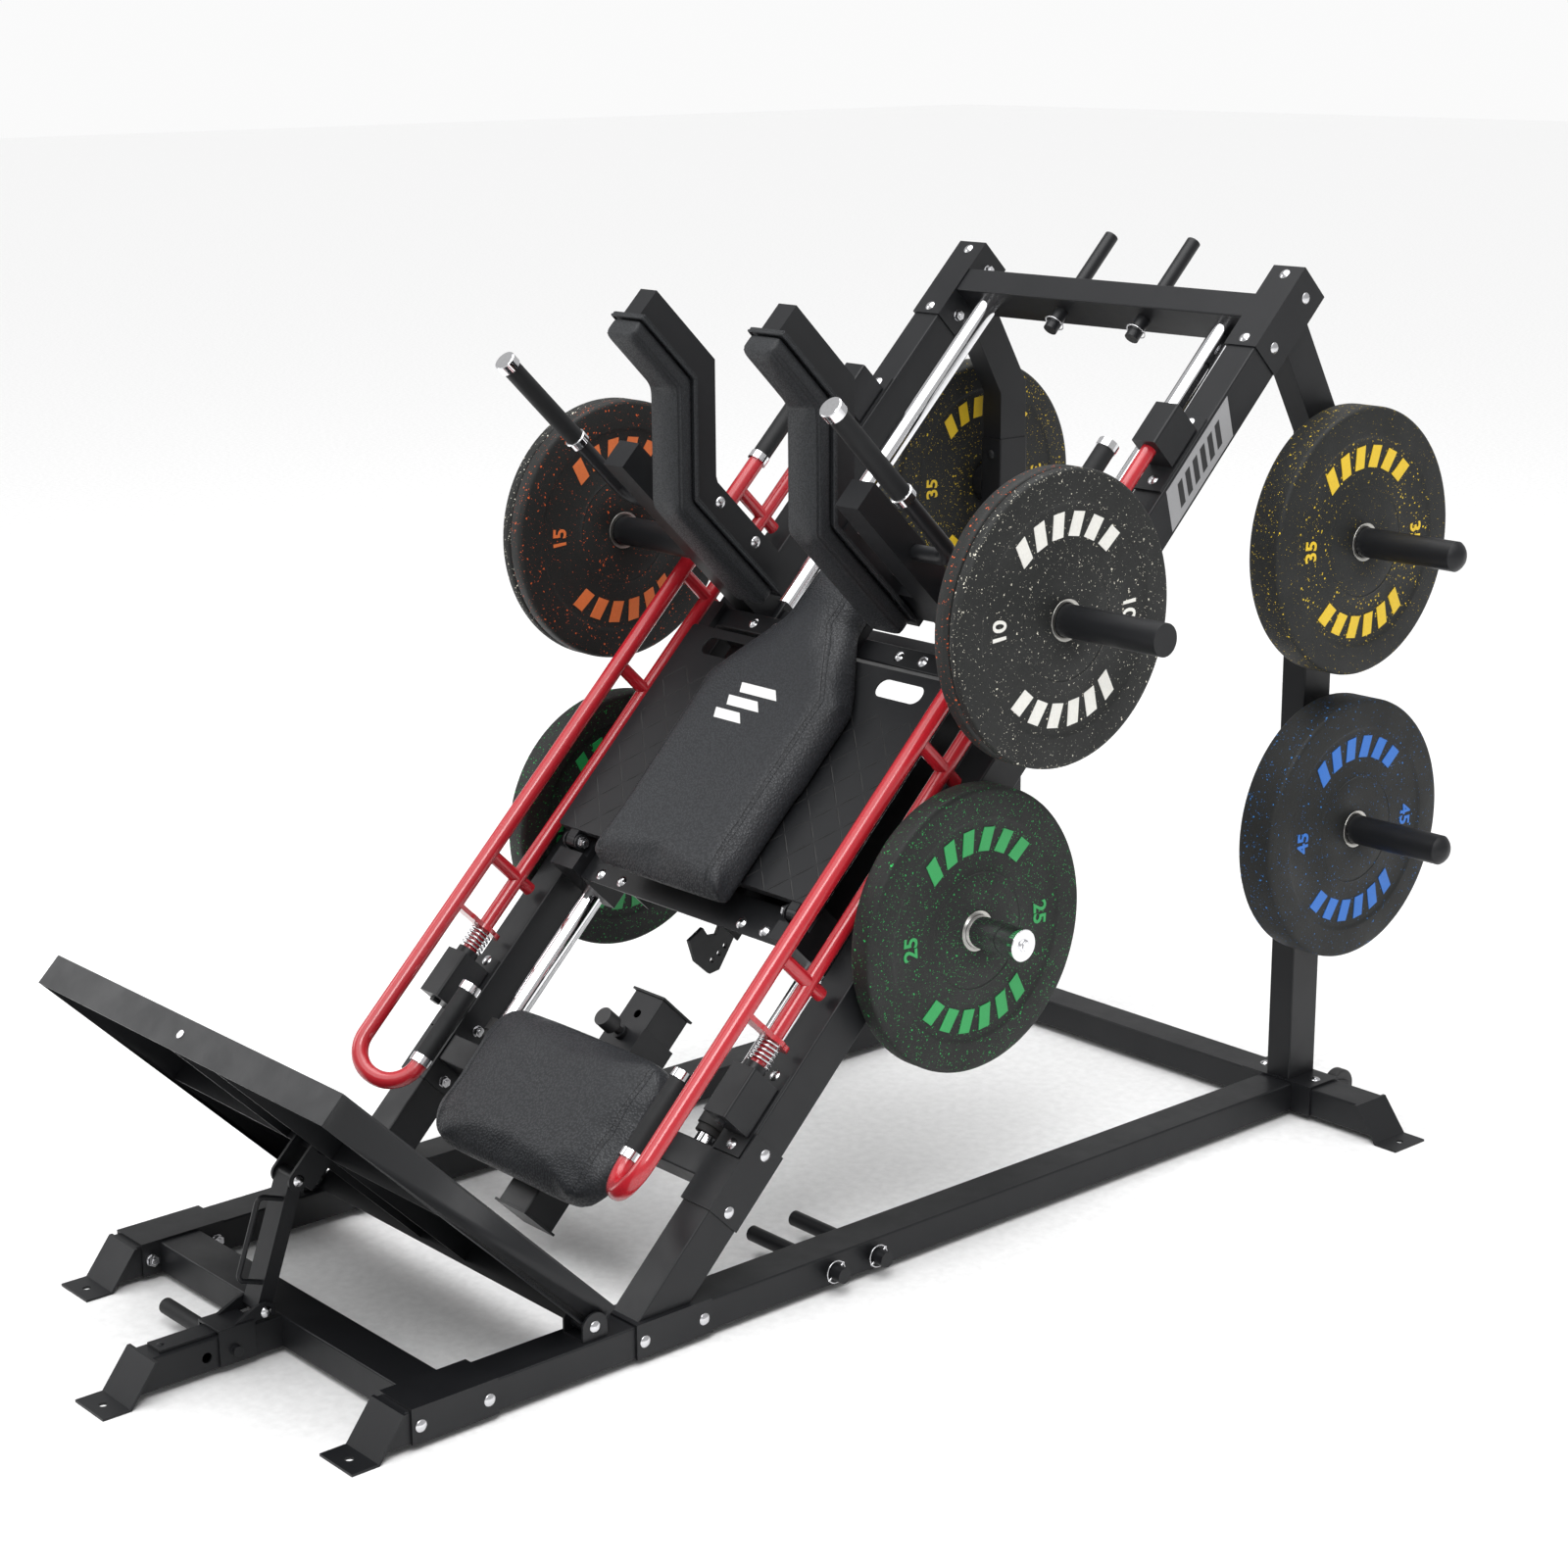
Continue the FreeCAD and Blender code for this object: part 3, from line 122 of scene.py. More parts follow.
def make_pebble_grain_and_valley_shade():
    """Upholstery grain: rounded pebbles, and a mask of the valleys between them that darkens their colour
    as painted shade.
    """
    tree, start, end = new_group(
        "pebble_grain_and_valley_shade", "ShaderNodeTree",
        [("Pebble Size", FLOAT, 420.0), ("Wander", FLOAT, 0.0012)],
        [("Height", FLOAT), ("Valley", FLOAT)])
    where = put_node(tree, "ShaderNodeTexCoord")
    moved = drifting(tree, where, 160.0, start.outputs["Wander"])
    pebbles = put_node(tree, "ShaderNodeTexVoronoi", {"Vector": moved.outputs["Vector"],
                       "Scale": start.outputs["Pebble Size"], "Smoothness": 0.35}, feature="SMOOTH_F1")
    small = put_node(tree, "ShaderNodeTexNoise", {"Vector": where.outputs["Object"], "Scale": 1400.0,
                     "Detail": 1.0})
    dome = put_node(tree, "ShaderNodeMapRange", {"Value": pebbles.outputs["Distance"], "From Min": 0.1,
                    "From Max": 0.75, "To Min": 1.0, "To Max": 0.0}, interpolation_type="SMOOTHSTEP")
    total = put_node(tree, "ShaderNodeMath", {0: small.outputs["Fac"], 1: 0.15, 2: dome.outputs["Result"]},
                     operation="MULTIPLY_ADD")
    # Valley mask: it darkens the colour in the valleys as painted shade, and it raises the roughness there.
    valley = put_node(tree, "ShaderNodeMath", {0: 1.0, 1: dome.outputs["Result"]}, operation="SUBTRACT")
    tree.links.new(total.outputs[0], end.inputs["Height"])
    tree.links.new(valley.outputs[0], end.inputs["Valley"])
    return tree


def make_crumb_flecks():
    """Mask of coloured crumbs pressed into black rubber, and the rubber's own crumb height."""
    tree, start, end = new_group(
        "crumb_flecks", "ShaderNodeTree",
        [("Crumb Size", FLOAT, 150.0), ("Share", FLOAT, 0.45)],
        [("Mask", FLOAT), ("Height", FLOAT)])
    where = put_node(tree, "ShaderNodeTexCoord")
    moved = drifting(tree, where, 420.0, 0.006)
    masks = []
    for factor, reach in ((1.0, 0.2), (2.3, 0.24)):
        size = put_node(tree, "ShaderNodeMath", {0: start.outputs["Crumb Size"], 1: factor},
                        operation="MULTIPLY")
        cells = put_node(tree, "ShaderNodeTexVoronoi", {"Vector": moved.outputs["Vector"],
                         "Scale": size.outputs[0], "Randomness": 1.0})
        chance = put_node(tree, "ShaderNodeSeparateColor", {"Color": cells.outputs["Color"]})
        chosen = put_node(tree, "ShaderNodeMath", {0: chance.outputs["Red"], 1: start.outputs["Share"]},
                          operation="LESS_THAN")
        spread = put_node(tree, "ShaderNodeMath", {0: chance.outputs["Green"], 1: reach, 2: 0.05},
                          operation="MULTIPLY_ADD")
        inside = put_node(tree, "ShaderNodeMath", {0: cells.outputs["Distance"], 1: spread.outputs[0]},
                          operation="LESS_THAN")
        both = put_node(tree, "ShaderNodeMath", {0: chosen.outputs[0], 1: inside.outputs[0]},
                        operation="MULTIPLY")
        masks.append(both.outputs[0])
    either = put_node(tree, "ShaderNodeMath", {0: masks[0], 1: masks[1]}, operation="MAXIMUM")
    crumbs = put_node(tree, "ShaderNodeTexVoronoi", {"Vector": where.outputs["Object"], "Scale": 300.0})
    tree.links.new(either.outputs[0], end.inputs["Mask"])
    tree.links.new(crumbs.outputs["Distance"], end.inputs["Height"])
    return tree


FINE_COAT = make_fine_coat()
PEBBLE_GRAIN_AND_VALLEY_SHADE = make_pebble_grain_and_valley_shade()
CRUMB_FLECKS = make_crumb_flecks()


def new_material(name, **plain):
    """Material with one Principled shader; plain values are set on its own sockets."""
    made = bpy.data.materials.new(name)
    made.use_nodes = True
    tree = made.node_tree
    shader = tree.nodes["Principled BSDF"]
    for label, value in plain.items():
        shader.inputs[label.replace("_", " ")].default_value = value
    return made, tree, shader


def coated(name, colour, grain, low, high, depth, **plain):
    """Painted, plated or moulded finish with its own fine grain and uneven sheen."""
    made, tree, shader = new_material(name, **plain)
    coat = put_node(tree, "ShaderNodeGroup", node_tree=FINE_COAT)
    coat.inputs["Grain Size"].default_value = grain
    coat.inputs["Low Sheen"].default_value = low
    coat.inputs["High Sheen"].default_value = high
    darker = tuple(c * 0.78 for c in colour)
    mix = put_node(tree, "ShaderNodeMix", {"Factor": coat.outputs["Height"], 6: darker + (1,),
                   7: colour + (1,)}, data_type="RGBA")
    bump = put_node(tree, "ShaderNodeBump", {"Height": coat.outputs["Height"], "Strength": 0.5,
                    "Distance": depth / 1000})
    tree.links.new(mix.outputs[2], shader.inputs["Base Color"])
    tree.links.new(coat.outputs["Roughness"], shader.inputs["Roughness"])
    tree.links.new(bump.outputs["Normal"], shader.inputs["Normal"])
    return made


def upholstery(name, colour, size, depth, sheen=0.42):
    made, tree, shader = new_material(name, Specular_IOR_Level=0.38)
    grain = put_node(tree, "ShaderNodeGroup", node_tree=PEBBLE_GRAIN_AND_VALLEY_SHADE)
    grain.inputs["Pebble Size"].default_value = size
    # Painted shade: the valley mask darkens the colour in the pebbles' valleys; the same mask also raises
    # the roughness there.
    valley_shade_colour = tuple(c * 0.55 for c in colour)
    mix = put_node(tree, "ShaderNodeMix", {"Factor": grain.outputs["Valley"], 6: colour + (1,),
                   7: valley_shade_colour + (1,)}, data_type="RGBA")
    rough = put_node(tree, "ShaderNodeMapRange", {"Value": grain.outputs["Valley"], "To Min": sheen,
                     "To Max": sheen + 0.25})
    bump = put_node(tree, "ShaderNodeBump", {"Height": grain.outputs["Height"], "Strength": 0.55,
                    "Distance": depth / 1000})
    tree.links.new(mix.outputs[2], shader.inputs["Base Color"])
    tree.links.new(rough.outputs["Result"], shader.inputs["Roughness"])
    tree.links.new(bump.outputs["Normal"], shader.inputs["Normal"])
    return made


def crumb_rubber(name, fleck, share):
    made, tree, shader = new_material(name, Specular_IOR_Level=0.3)
    flecks = put_node(tree, "ShaderNodeGroup", node_tree=CRUMB_FLECKS)
    flecks.inputs["Share"].default_value = share
    coat = put_node(tree, "ShaderNodeGroup", node_tree=FINE_COAT)
    coat.inputs["Grain Size"].default_value = 350.0
    coat.inputs["Low Sheen"].default_value = 0.5
    coat.inputs["High Sheen"].default_value = 0.7
    base = put_node(tree, "ShaderNodeMix", {"Factor": coat.outputs["Height"],
                    6: (0.007, 0.0075, 0.0075, 1), 7: (0.02, 0.021, 0.02, 1)}, data_type="RGBA")
    mix = put_node(tree, "ShaderNodeMix", {"Factor": flecks.outputs["Mask"], 6: base.outputs[2],
                   7: fleck + (1,)}, data_type="RGBA")
    bump = put_node(tree, "ShaderNodeBump", {"Height": flecks.outputs["Height"], "Strength": 0.35,
                    "Distance": 0.0006})
    tree.links.new(mix.outputs[2], shader.inputs["Base Color"])
    tree.links.new(coat.outputs["Roughness"], shader.inputs["Roughness"])
    tree.links.new(bump.outputs["Normal"], shader.inputs["Normal"])
    return made


# name, colour, grain size, lowest and highest roughness, grain depth in mm
BLACK_COAT = coated("black_coat", (0.0105, 0.011, 0.0125), 700.0, 0.34, 0.48, 0.12,
                    Specular_IOR_Level=0.3)
TREAD_COAT = coated("tread_coat", (0.009, 0.009, 0.0095), 500.0, 0.4, 0.55, 0.2, Specular_IOR_Level=0.34)
RED_GLOSS = coated("red_gloss", (0.47, 0.014, 0.024), 260.0, 0.2, 0.3, 0.05, Coat_Weight=0.5,
                   Coat_Roughness=0.08)
ZINC = coated("zinc_plate", (0.72, 0.72, 0.74), 500.0, 0.16, 0.32, 0.03, Metallic=1.0)
CHROME = coated("chrome_plate", (0.88, 0.88, 0.9), 200.0, 0.04, 0.1, 0.004, Metallic=1.0)
WIRE = coated("spring_wire", (0.7, 0.7, 0.72), 400.0, 0.15, 0.3, 0.02, Metallic=1.0)
HUB_STEEL = coated("hub_steel", (0.5, 0.49, 0.46), 300.0, 0.25, 0.4, 0.03, Metallic=1.0)
FOAM = coated("grip_foam", (0.009, 0.0095, 0.0105), 900.0, 0.5, 0.68, 0.25, Specular_IOR_Level=0.3)
PLASTIC = coated("black_plastic", (0.02, 0.02, 0.021), 600.0, 0.45, 0.6, 0.1)
BUMPER = coated("bumper_rubber", (0.015, 0.015, 0.015), 300.0, 0.6, 0.75, 0.2)
PANEL_SILVER = coated("panel_silver", (0.42, 0.42, 0.43), 800.0, 0.34, 0.46, 0.02, Metallic=0.6)
PAD_MARK = coated("pad_mark", (0.78, 0.78, 0.77), 500.0, 0.45, 0.6, 0.05)
LEATHER = upholstery("pad_leather", (0.021, 0.023, 0.027), 270.0, 0.8, 0.38)
LEATHER_FINE = upholstery("pad_leather_fine", (0.02, 0.022, 0.025), 420.0, 0.5, 0.4)
THREAD = upholstery("pad_thread", (0.008, 0.008, 0.009), 900.0, 0.2, 0.55)

# crumb colour and share of crumbs that are coloured, then the marks' paint, by plate weight
FLECKS = {
    "10": ((0.95, 0.9, 0.76), 0.36), "15": ((0.85, 0.13, 0.02), 0.26), "25": ((0.02, 0.5, 0.1), 0.28),
    "35": ((0.85, 0.6, 0.02), 0.28), "45": ((0.03, 0.25, 0.75), 0.22),
}
MARKS = {
    "10": (0.86, 0.85, 0.8), "15": (0.8, 0.19, 0.05), "25": (0.02, 0.36, 0.09), "35": (0.86, 0.58, 0.02),
    "45": (0.02, 0.17, 0.62),
}


# ---------------------------------------------------------------- mesh helpers
def mesh_piece(name, mesh, finish, body, replaces=(), smooth=40):
    """Object at the origin that rides on a body; its place is in its mesh."""
    made = bpy.data.objects.new(name, mesh)
    bpy.context.scene.collection.objects.link(made)
    mesh.materials.clear()
    for one in finish if isinstance(finish, (list, tuple)) else [finish]:
        mesh.materials.append(one)
    soften(mesh, smooth)
    if replaces:
        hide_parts(*replaces)
    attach(made, body)
    return made


def soften(mesh, angle):
    """Smooth shading with crisp edges above an angle."""
    for face in mesh.polygons:
        face.use_smooth = True
    sharp = bmesh.new()
    sharp.from_mesh(mesh)
    limit = math.radians(angle)
    for edge in sharp.edges:
        edge.smooth = not (len(edge.link_faces) == 2 and edge.calc_face_angle(0) > limit)
    sharp.to_mesh(mesh)
    sharp.free()


def mesh_of(made, name):
    """Plain mesh of an object's evaluated shape; the object is removed."""
    scene_state = bpy.context.evaluated_depsgraph_get()
    mesh = bpy.data.meshes.new_from_object(made.evaluated_get(scene_state))
    mesh.name = name
    data = made.data
    bpy.data.objects.remove(made)
    if isinstance(data, bpy.types.Mesh):
        bpy.data.meshes.remove(data)
    return mesh


def from_bmesh(shape, name):
    mesh = bpy.data.meshes.new(name)
    shape.to_mesh(mesh)
    shape.free()
    return mesh


def link(name, mesh):
    made = bpy.data.objects.new(name, mesh)
    bpy.context.scene.collection.objects.link(made)
    return made


# ---------------------------------------------------------------- geometry nodes
def scatter_tree(name, kind, make):
    """Instances of one small shape on points; each point's "turn" gives its rotation."""
    tree, start, end = new_group(
        name, "GeometryNodeTree",
        [("Geometry", "NodeSocketGeometry", None), ("Size", VECTOR, (1.0, 1.0, 1.0)),
         ("Slant", FLOAT, 0.0), ("Material", "NodeSocketMaterial", None)],
        [("Geometry", "NodeSocketGeometry")])
    shape = put_node(tree, kind, make)
    where = put_node(tree, "GeometryNodeInputPosition")
    parts = put_node(tree, "ShaderNodeSeparateXYZ", {"Vector": where.outputs["Position"]})
    lean = put_node(tree, "ShaderNodeMath", {0: parts.outputs["Y"], 1: start.outputs["Slant"]},
                    operation="MULTIPLY")
    shift = put_node(tree, "ShaderNodeCombineXYZ", {"X": lean.outputs[0]})
    skewed = put_node(tree, "GeometryNodeSetPosition", {"Geometry": shape.outputs["Mesh"],
                      "Offset": shift.outputs["Vector"]})
    points = put_node(tree, "GeometryNodeMeshToPoints", {"Mesh": start.outputs["Geometry"]})
    turn = put_node(tree, "GeometryNodeInputNamedAttribute", {"Name": "turn"}, data_type="FLOAT_VECTOR")
    spread = put_node(tree, "GeometryNodeInstanceOnPoints", {"Points": points.outputs["Points"],
                      "Instance": skewed.outputs["Geometry"], "Rotation": turn.outputs["Attribute"],
                      "Scale": start.outputs["Size"]})
    real = put_node(tree, "GeometryNodeRealizeInstances", {"Geometry": spread.outputs["Instances"]})
    dress = put_node(tree, "GeometryNodeSetMaterial", {"Geometry": real.outputs["Geometry"],
                     "Material": start.outputs["Material"]})
    tree.links.new(dress.outputs["Geometry"], end.inputs["Geometry"])
    return tree


def stitch_tree():
    """Short threads along every chain of edges."""
    tree, start, end = new_group(
        "stitches", "GeometryNodeTree",
        [("Geometry", "NodeSocketGeometry", None), ("Spacing", FLOAT, 0.0045), ("Length", FLOAT, 0.003),
         ("Radius", FLOAT, 0.0005), ("Material", "NodeSocketMaterial", None)],
        [("Geometry", "NodeSocketGeometry")])
    path = put_node(tree, "GeometryNodeMeshToCurve", {"Mesh": start.outputs["Geometry"]})
    even = put_node(tree, "GeometryNodeResampleCurve", {"Curve": path.outputs["Curve"],
                    "Length": start.outputs["Spacing"]}, mode="LENGTH")
    along = put_node(tree, "GeometryNodeInputTangent")
    aimed = put_node(tree, "FunctionNodeAlignRotationToVector", {"Vector": along.outputs["Tangent"]},
                     axis="Z")
    thread = put_node(tree, "GeometryNodeMeshCylinder", {"Vertices": 6, "Radius": start.outputs["Radius"],
                      "Depth": start.outputs["Length"]})
    spread = put_node(tree, "GeometryNodeInstanceOnPoints", {"Points": even.outputs["Curve"],
                      "Instance": thread.outputs["Mesh"], "Rotation": aimed.outputs["Rotation"]})
    real = put_node(tree, "GeometryNodeRealizeInstances", {"Geometry": spread.outputs["Instances"]})
    dress = put_node(tree, "GeometryNodeSetMaterial", {"Geometry": real.outputs["Geometry"],
                     "Material": start.outputs["Material"]})
    tree.links.new(dress.outputs["Geometry"], end.inputs["Geometry"])
    return tree


def cord_tree():
    """Round cord along every chain of edges."""
    tree, start, end = new_group(
        "edge_cord", "GeometryNodeTree",
        [("Geometry", "NodeSocketGeometry", None), ("Radius", FLOAT, 0.0025),
         ("Material", "NodeSocketMaterial", None)],
        [("Geometry", "NodeSocketGeometry")])
    path = put_node(tree, "GeometryNodeMeshToCurve", {"Mesh": start.outputs["Geometry"]})
    ring = put_node(tree, "GeometryNodeCurvePrimitiveCircle", {"Resolution": 10,
                    "Radius": start.outputs["Radius"]})
    skin = put_node(tree, "GeometryNodeCurveToMesh", {"Curve": path.outputs["Curve"],
                    "Profile Curve": ring.outputs["Curve"], "Fill Caps": True})
    real = put_node(tree, "GeometryNodeRealizeInstances", {"Geometry": skin.outputs["Mesh"]})
    dress = put_node(tree, "GeometryNodeSetMaterial", {"Geometry": real.outputs["Geometry"],
                     "Material": start.outputs["Material"]})
    tree.links.new(dress.outputs["Geometry"], end.inputs["Geometry"])
    return tree


TREAD_BARS = scatter_tree("tread_bars", "GeometryNodeMeshUVSphere",
                          {"Segments": 8, "Rings": 4, "Radius": 0.5})
BLOCK_MARKS = scatter_tree("block_marks", "GeometryNodeMeshCube", {"Size": (1.0, 1.0, 1.0)})
STITCHES = stitch_tree()
EDGE_CORD = cord_tree()


def grown(name, mesh, tree, values):
    """Runs a geometry node tree on a base mesh and returns the plain mesh it makes."""
    base = link(name, mesh)
    run = base.modifiers.new(tree.name, "NODES")
    run.node_group = tree
    for item in tree.interface.items_tree:
        if item.in_out == "INPUT" and item.name in values:
            run[item.identifier] = values[item.name]
    return mesh_of(base, name)


def point_mesh(name, places, turns):
    mesh = bpy.data.meshes.new(name)
    mesh.from_pydata([tuple(p) for p in places], [], [])
    kept = mesh.attributes.new("turn", "FLOAT_VECTOR", "POINT")
    for i, turn in enumerate(turns):
        kept.data[i].vector = turn
    return mesh


def chain_mesh(name, chains, closed=False):
    """Edge chains through lists of points."""
    places, edges = [], []
    for chain in chains:
        first = len(places)
        places += [tuple(p) for p in chain]
        edges += [(i, i + 1) for i in range(first, len(places) - 1)]
        if closed:
            edges.append((len(places) - 1, first))
    mesh = bpy.data.meshes.new(name)
    mesh.from_pydata(places, edges, [])
    return mesh


def evenly(points, step):
    """Points every step along a polyline."""
    out = [points[0]]
    for a, b in zip(points, points[1:]):
        count = max(1, round((b - a).length / step))
        out += [a.lerp(b, i / count) for i in range(1, count + 1)]
    return out


# ---------------------------------------------------------------- CAD metal nodes
def local(point):
    """Point of the row frame in millimetres across, up the rails and off their faces."""
    return (SLOPE.inverted() @ point) * 1000


def finish_metal(node, finishes, choose=None):
    """Finishes a CAD node: soft edges from modifiers, and a material chosen per face."""
    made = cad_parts[node]
    made.data.materials.clear()
    for one in finishes:
        made.data.materials.append(one)
    for face in made.data.polygons:
        face.use_smooth = True
        face.material_index = choose(face.center) if choose else 0
    weld = made.modifiers.new("weld", "WELD")
    weld.merge_threshold = 0.00001
    flat = made.modifiers.new("flat", "DECIMATE")
    flat.decimate_type = "DISSOLVE"
    flat.angle_limit = math.radians(0.6)
    flat.delimit = {"MATERIAL"}
    bevel = made.modifiers.new("bevel", "BEVEL")
    bevel.width = 0.0008
    bevel.segments = 2
    bevel.limit_method = "ANGLE"
    bevel.angle_limit = math.radians(34)
    bevel.harden_normals = True
    made.modifiers.new("normals", "WEIGHTED_NORMAL").keep_sharp = True


def bar_part(centre):
    """0 red tube, 1 foam grip, 2 bright collar."""
    x, s, h = local(centre)
    x = abs(x)
    if 1480 < s < 1620 and h > 105:
        return 1 if 1494 < s < 1606 else 2
    if 286 < s < 440.5 and x < 292:
        return 1 if 300 < s < 426 else 2
    return 0


def handle_part(centre):
    x, s, h = local(centre)
    if abs(x) < 360 or h < 430:
        return 0
    return 1 if 445 < h < 622 else 2


def bumper_part(centre):
    return 0 if local(centre).y < 378.5 else 1


SHOWN = {
    "guide_rods": [CHROME], "frame_bolts": [ZINC], "frame_nuts": [ZINC], "carriage_bolts": [ZINC],
    "strut_bolts": [ZINC], "peg_rings": [WIRE], "bar_springs": [WIRE], "lower_horns": [CHROME],
    "wheel_left": [PLASTIC], "wheel_right": [PLASTIC], "seat_pin": [PLASTIC], "slider_pin": [FOAM],
}
PLATES = [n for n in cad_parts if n.startswith("plate_")]
PADS = ["back_pad", "seat_pad", "shoulder_pad_left", "shoulder_pad_right"]
for node in sorted(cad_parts):
    if node in PLATES or node in PADS:
        continue
    if node.startswith("safety_bar"):
        finish_metal(node, [RED_GLOSS, FOAM, CHROME], bar_part)
    elif node.startswith("handle"):
        finish_metal(node, [BLACK_COAT, FOAM, CHROME], handle_part)
    elif node == "rod_bumpers":
        finish_metal(node, [CHROME, BUMPER], bumper_part)
    else:
        finish_metal(node, SHOWN.get(node, [BLACK_COAT]))

# ---------------------------------------------------------------- tread
TREAD_PITCH, TREAD_LENGTH, TREAD_WIDTH, TREAD_HIGH = 34, 0.046, 0.0034, 0.0018
tread_places, tread_turns = [], []
for row in range(13):
    for column in range(18):
        x, s = (column - 8.5) * TREAD_PITCH, 768 + row * TREAD_PITCH
        in_slot = abs(s - 1138) < 42 and 140 < abs(x) < 290
        if s < 1160 and not in_slot:
            tread_places.append(on_slope(x, s, 78))
            lean = math.radians(45 if (row + column) % 2 else -45)
            turned = Matrix.Rotation(math.radians(45), 4, "X") @ Matrix.Rotation(lean, 4, "Z")
            tread_turns.append(tuple(turned.to_euler()))
bar_size = (TREAD_LENGTH, TREAD_WIDTH, TREAD_HIGH)
tread = grown("platform_tread", point_mesh("tread_points", tread_places, tread_turns), TREAD_BARS,
              {"Size": bar_size, "Material": TREAD_COAT})
mesh_piece("platform_tread", tread, TREAD_COAT, "carriage")

step_places, step_turns = [], []
for row in range(17):
    for column in range(22):
        x, h = (column - 10.5) * TREAD_PITCH, 70 + row * TREAD_PITCH
        step_places.append(on_slope(x, 91, h))
        lean = math.radians(45 if (row + column) % 2 else -45)
        turned = Matrix.Rotation(math.radians(-45), 4, "X") @ Matrix.Rotation(lean, 4, "Z")
        step_turns.append(tuple(turned.to_euler()))
tread = grown("foot_plate_tread", point_mesh("step_points", step_places, step_turns), TREAD_BARS,
              {"Size": bar_size, "Material": TREAD_COAT})
mesh_piece("foot_plate_tread", tread, TREAD_COAT, "foot_plate")


# ---------------------------------------------------------------- weight plates
def lathe(profile, centre, steps):
    """Closed ring turned about the line through centre along X; profile is (x, r)."""
    shape = bmesh.new()
    rings = []
    for i in range(steps):
        a = 2 * math.pi * i / steps
        rings.append([shape.verts.new((x, centre.y + r * math.cos(a), centre.z + r * math.sin(a)))
                      for x, r in profile])
    count = len(profile)
    for i in range(steps):
        one, two = rings[i], rings[(i + 1) % steps]
        for j in range(count):
            shape.faces.new((one[j], one[(j + 1) % count], two[(j + 1) % count], two[j]))
    bmesh.ops.recalc_face_normals(shape, faces=shape.faces)
    return shape


def digits_mesh(word, height):
    curve = bpy.data.curves.new("digits", "FONT")
    curve.body = word
    curve.size = height * 1.4
    curve.align_x, curve.align_y = "CENTER", "CENTER"
    curve.offset = height * 0.028
    curve.resolution_u = 4
    made = bpy.data.objects.new("digits", curve)
    bpy.context.scene.collection.objects.link(made)
    mesh = mesh_of(made, "digits")
    bpy.data.curves.remove(curve)
    return mesh


def add_digits(shape, flat, face_x, out, centre, middle, radius, rise):
    """Bends flat digits round the plate's centre on one face, and thickens them.

    out is 1 on the face that looks along +X and -1 on the other.
    """
    turned = bmesh.new()
    turned.from_mesh(flat)
    bmesh.ops.remove_doubles(turned, verts=turned.verts, dist=0.00001)
    bmesh.ops.triangulate(turned, faces=turned.faces)
    raised = bmesh.ops.extrude_face_region(turned, geom=turned.faces[:])["geom"]
    for vert in raised:
        if isinstance(vert, bmesh.types.BMVert):
            vert.co.z += rise
    for vert in turned.verts:
        a = middle - vert.co.x / radius
        r = radius + vert.co.y
        vert.co = Vector((face_x + out * (vert.co.z - 0.0003), centre.y + out * r * math.cos(a),
                          centre.z + r * math.sin(a)))
    bmesh.ops.recalc_face_normals(turned, faces=turned.faces)
    part = from_bmesh(turned, "part")
    shape.from_mesh(part)
    bpy.data.meshes.remove(part)


BLOCK_RING, BLOCK_STEP, BLOCK_SIZE, BLOCK_SLANT = 0.143, 15.5, (0.0225, 0.037, 0.0016), 0.32
DIGIT_RING, DIGIT_HEIGHT = 0.137, 0.027


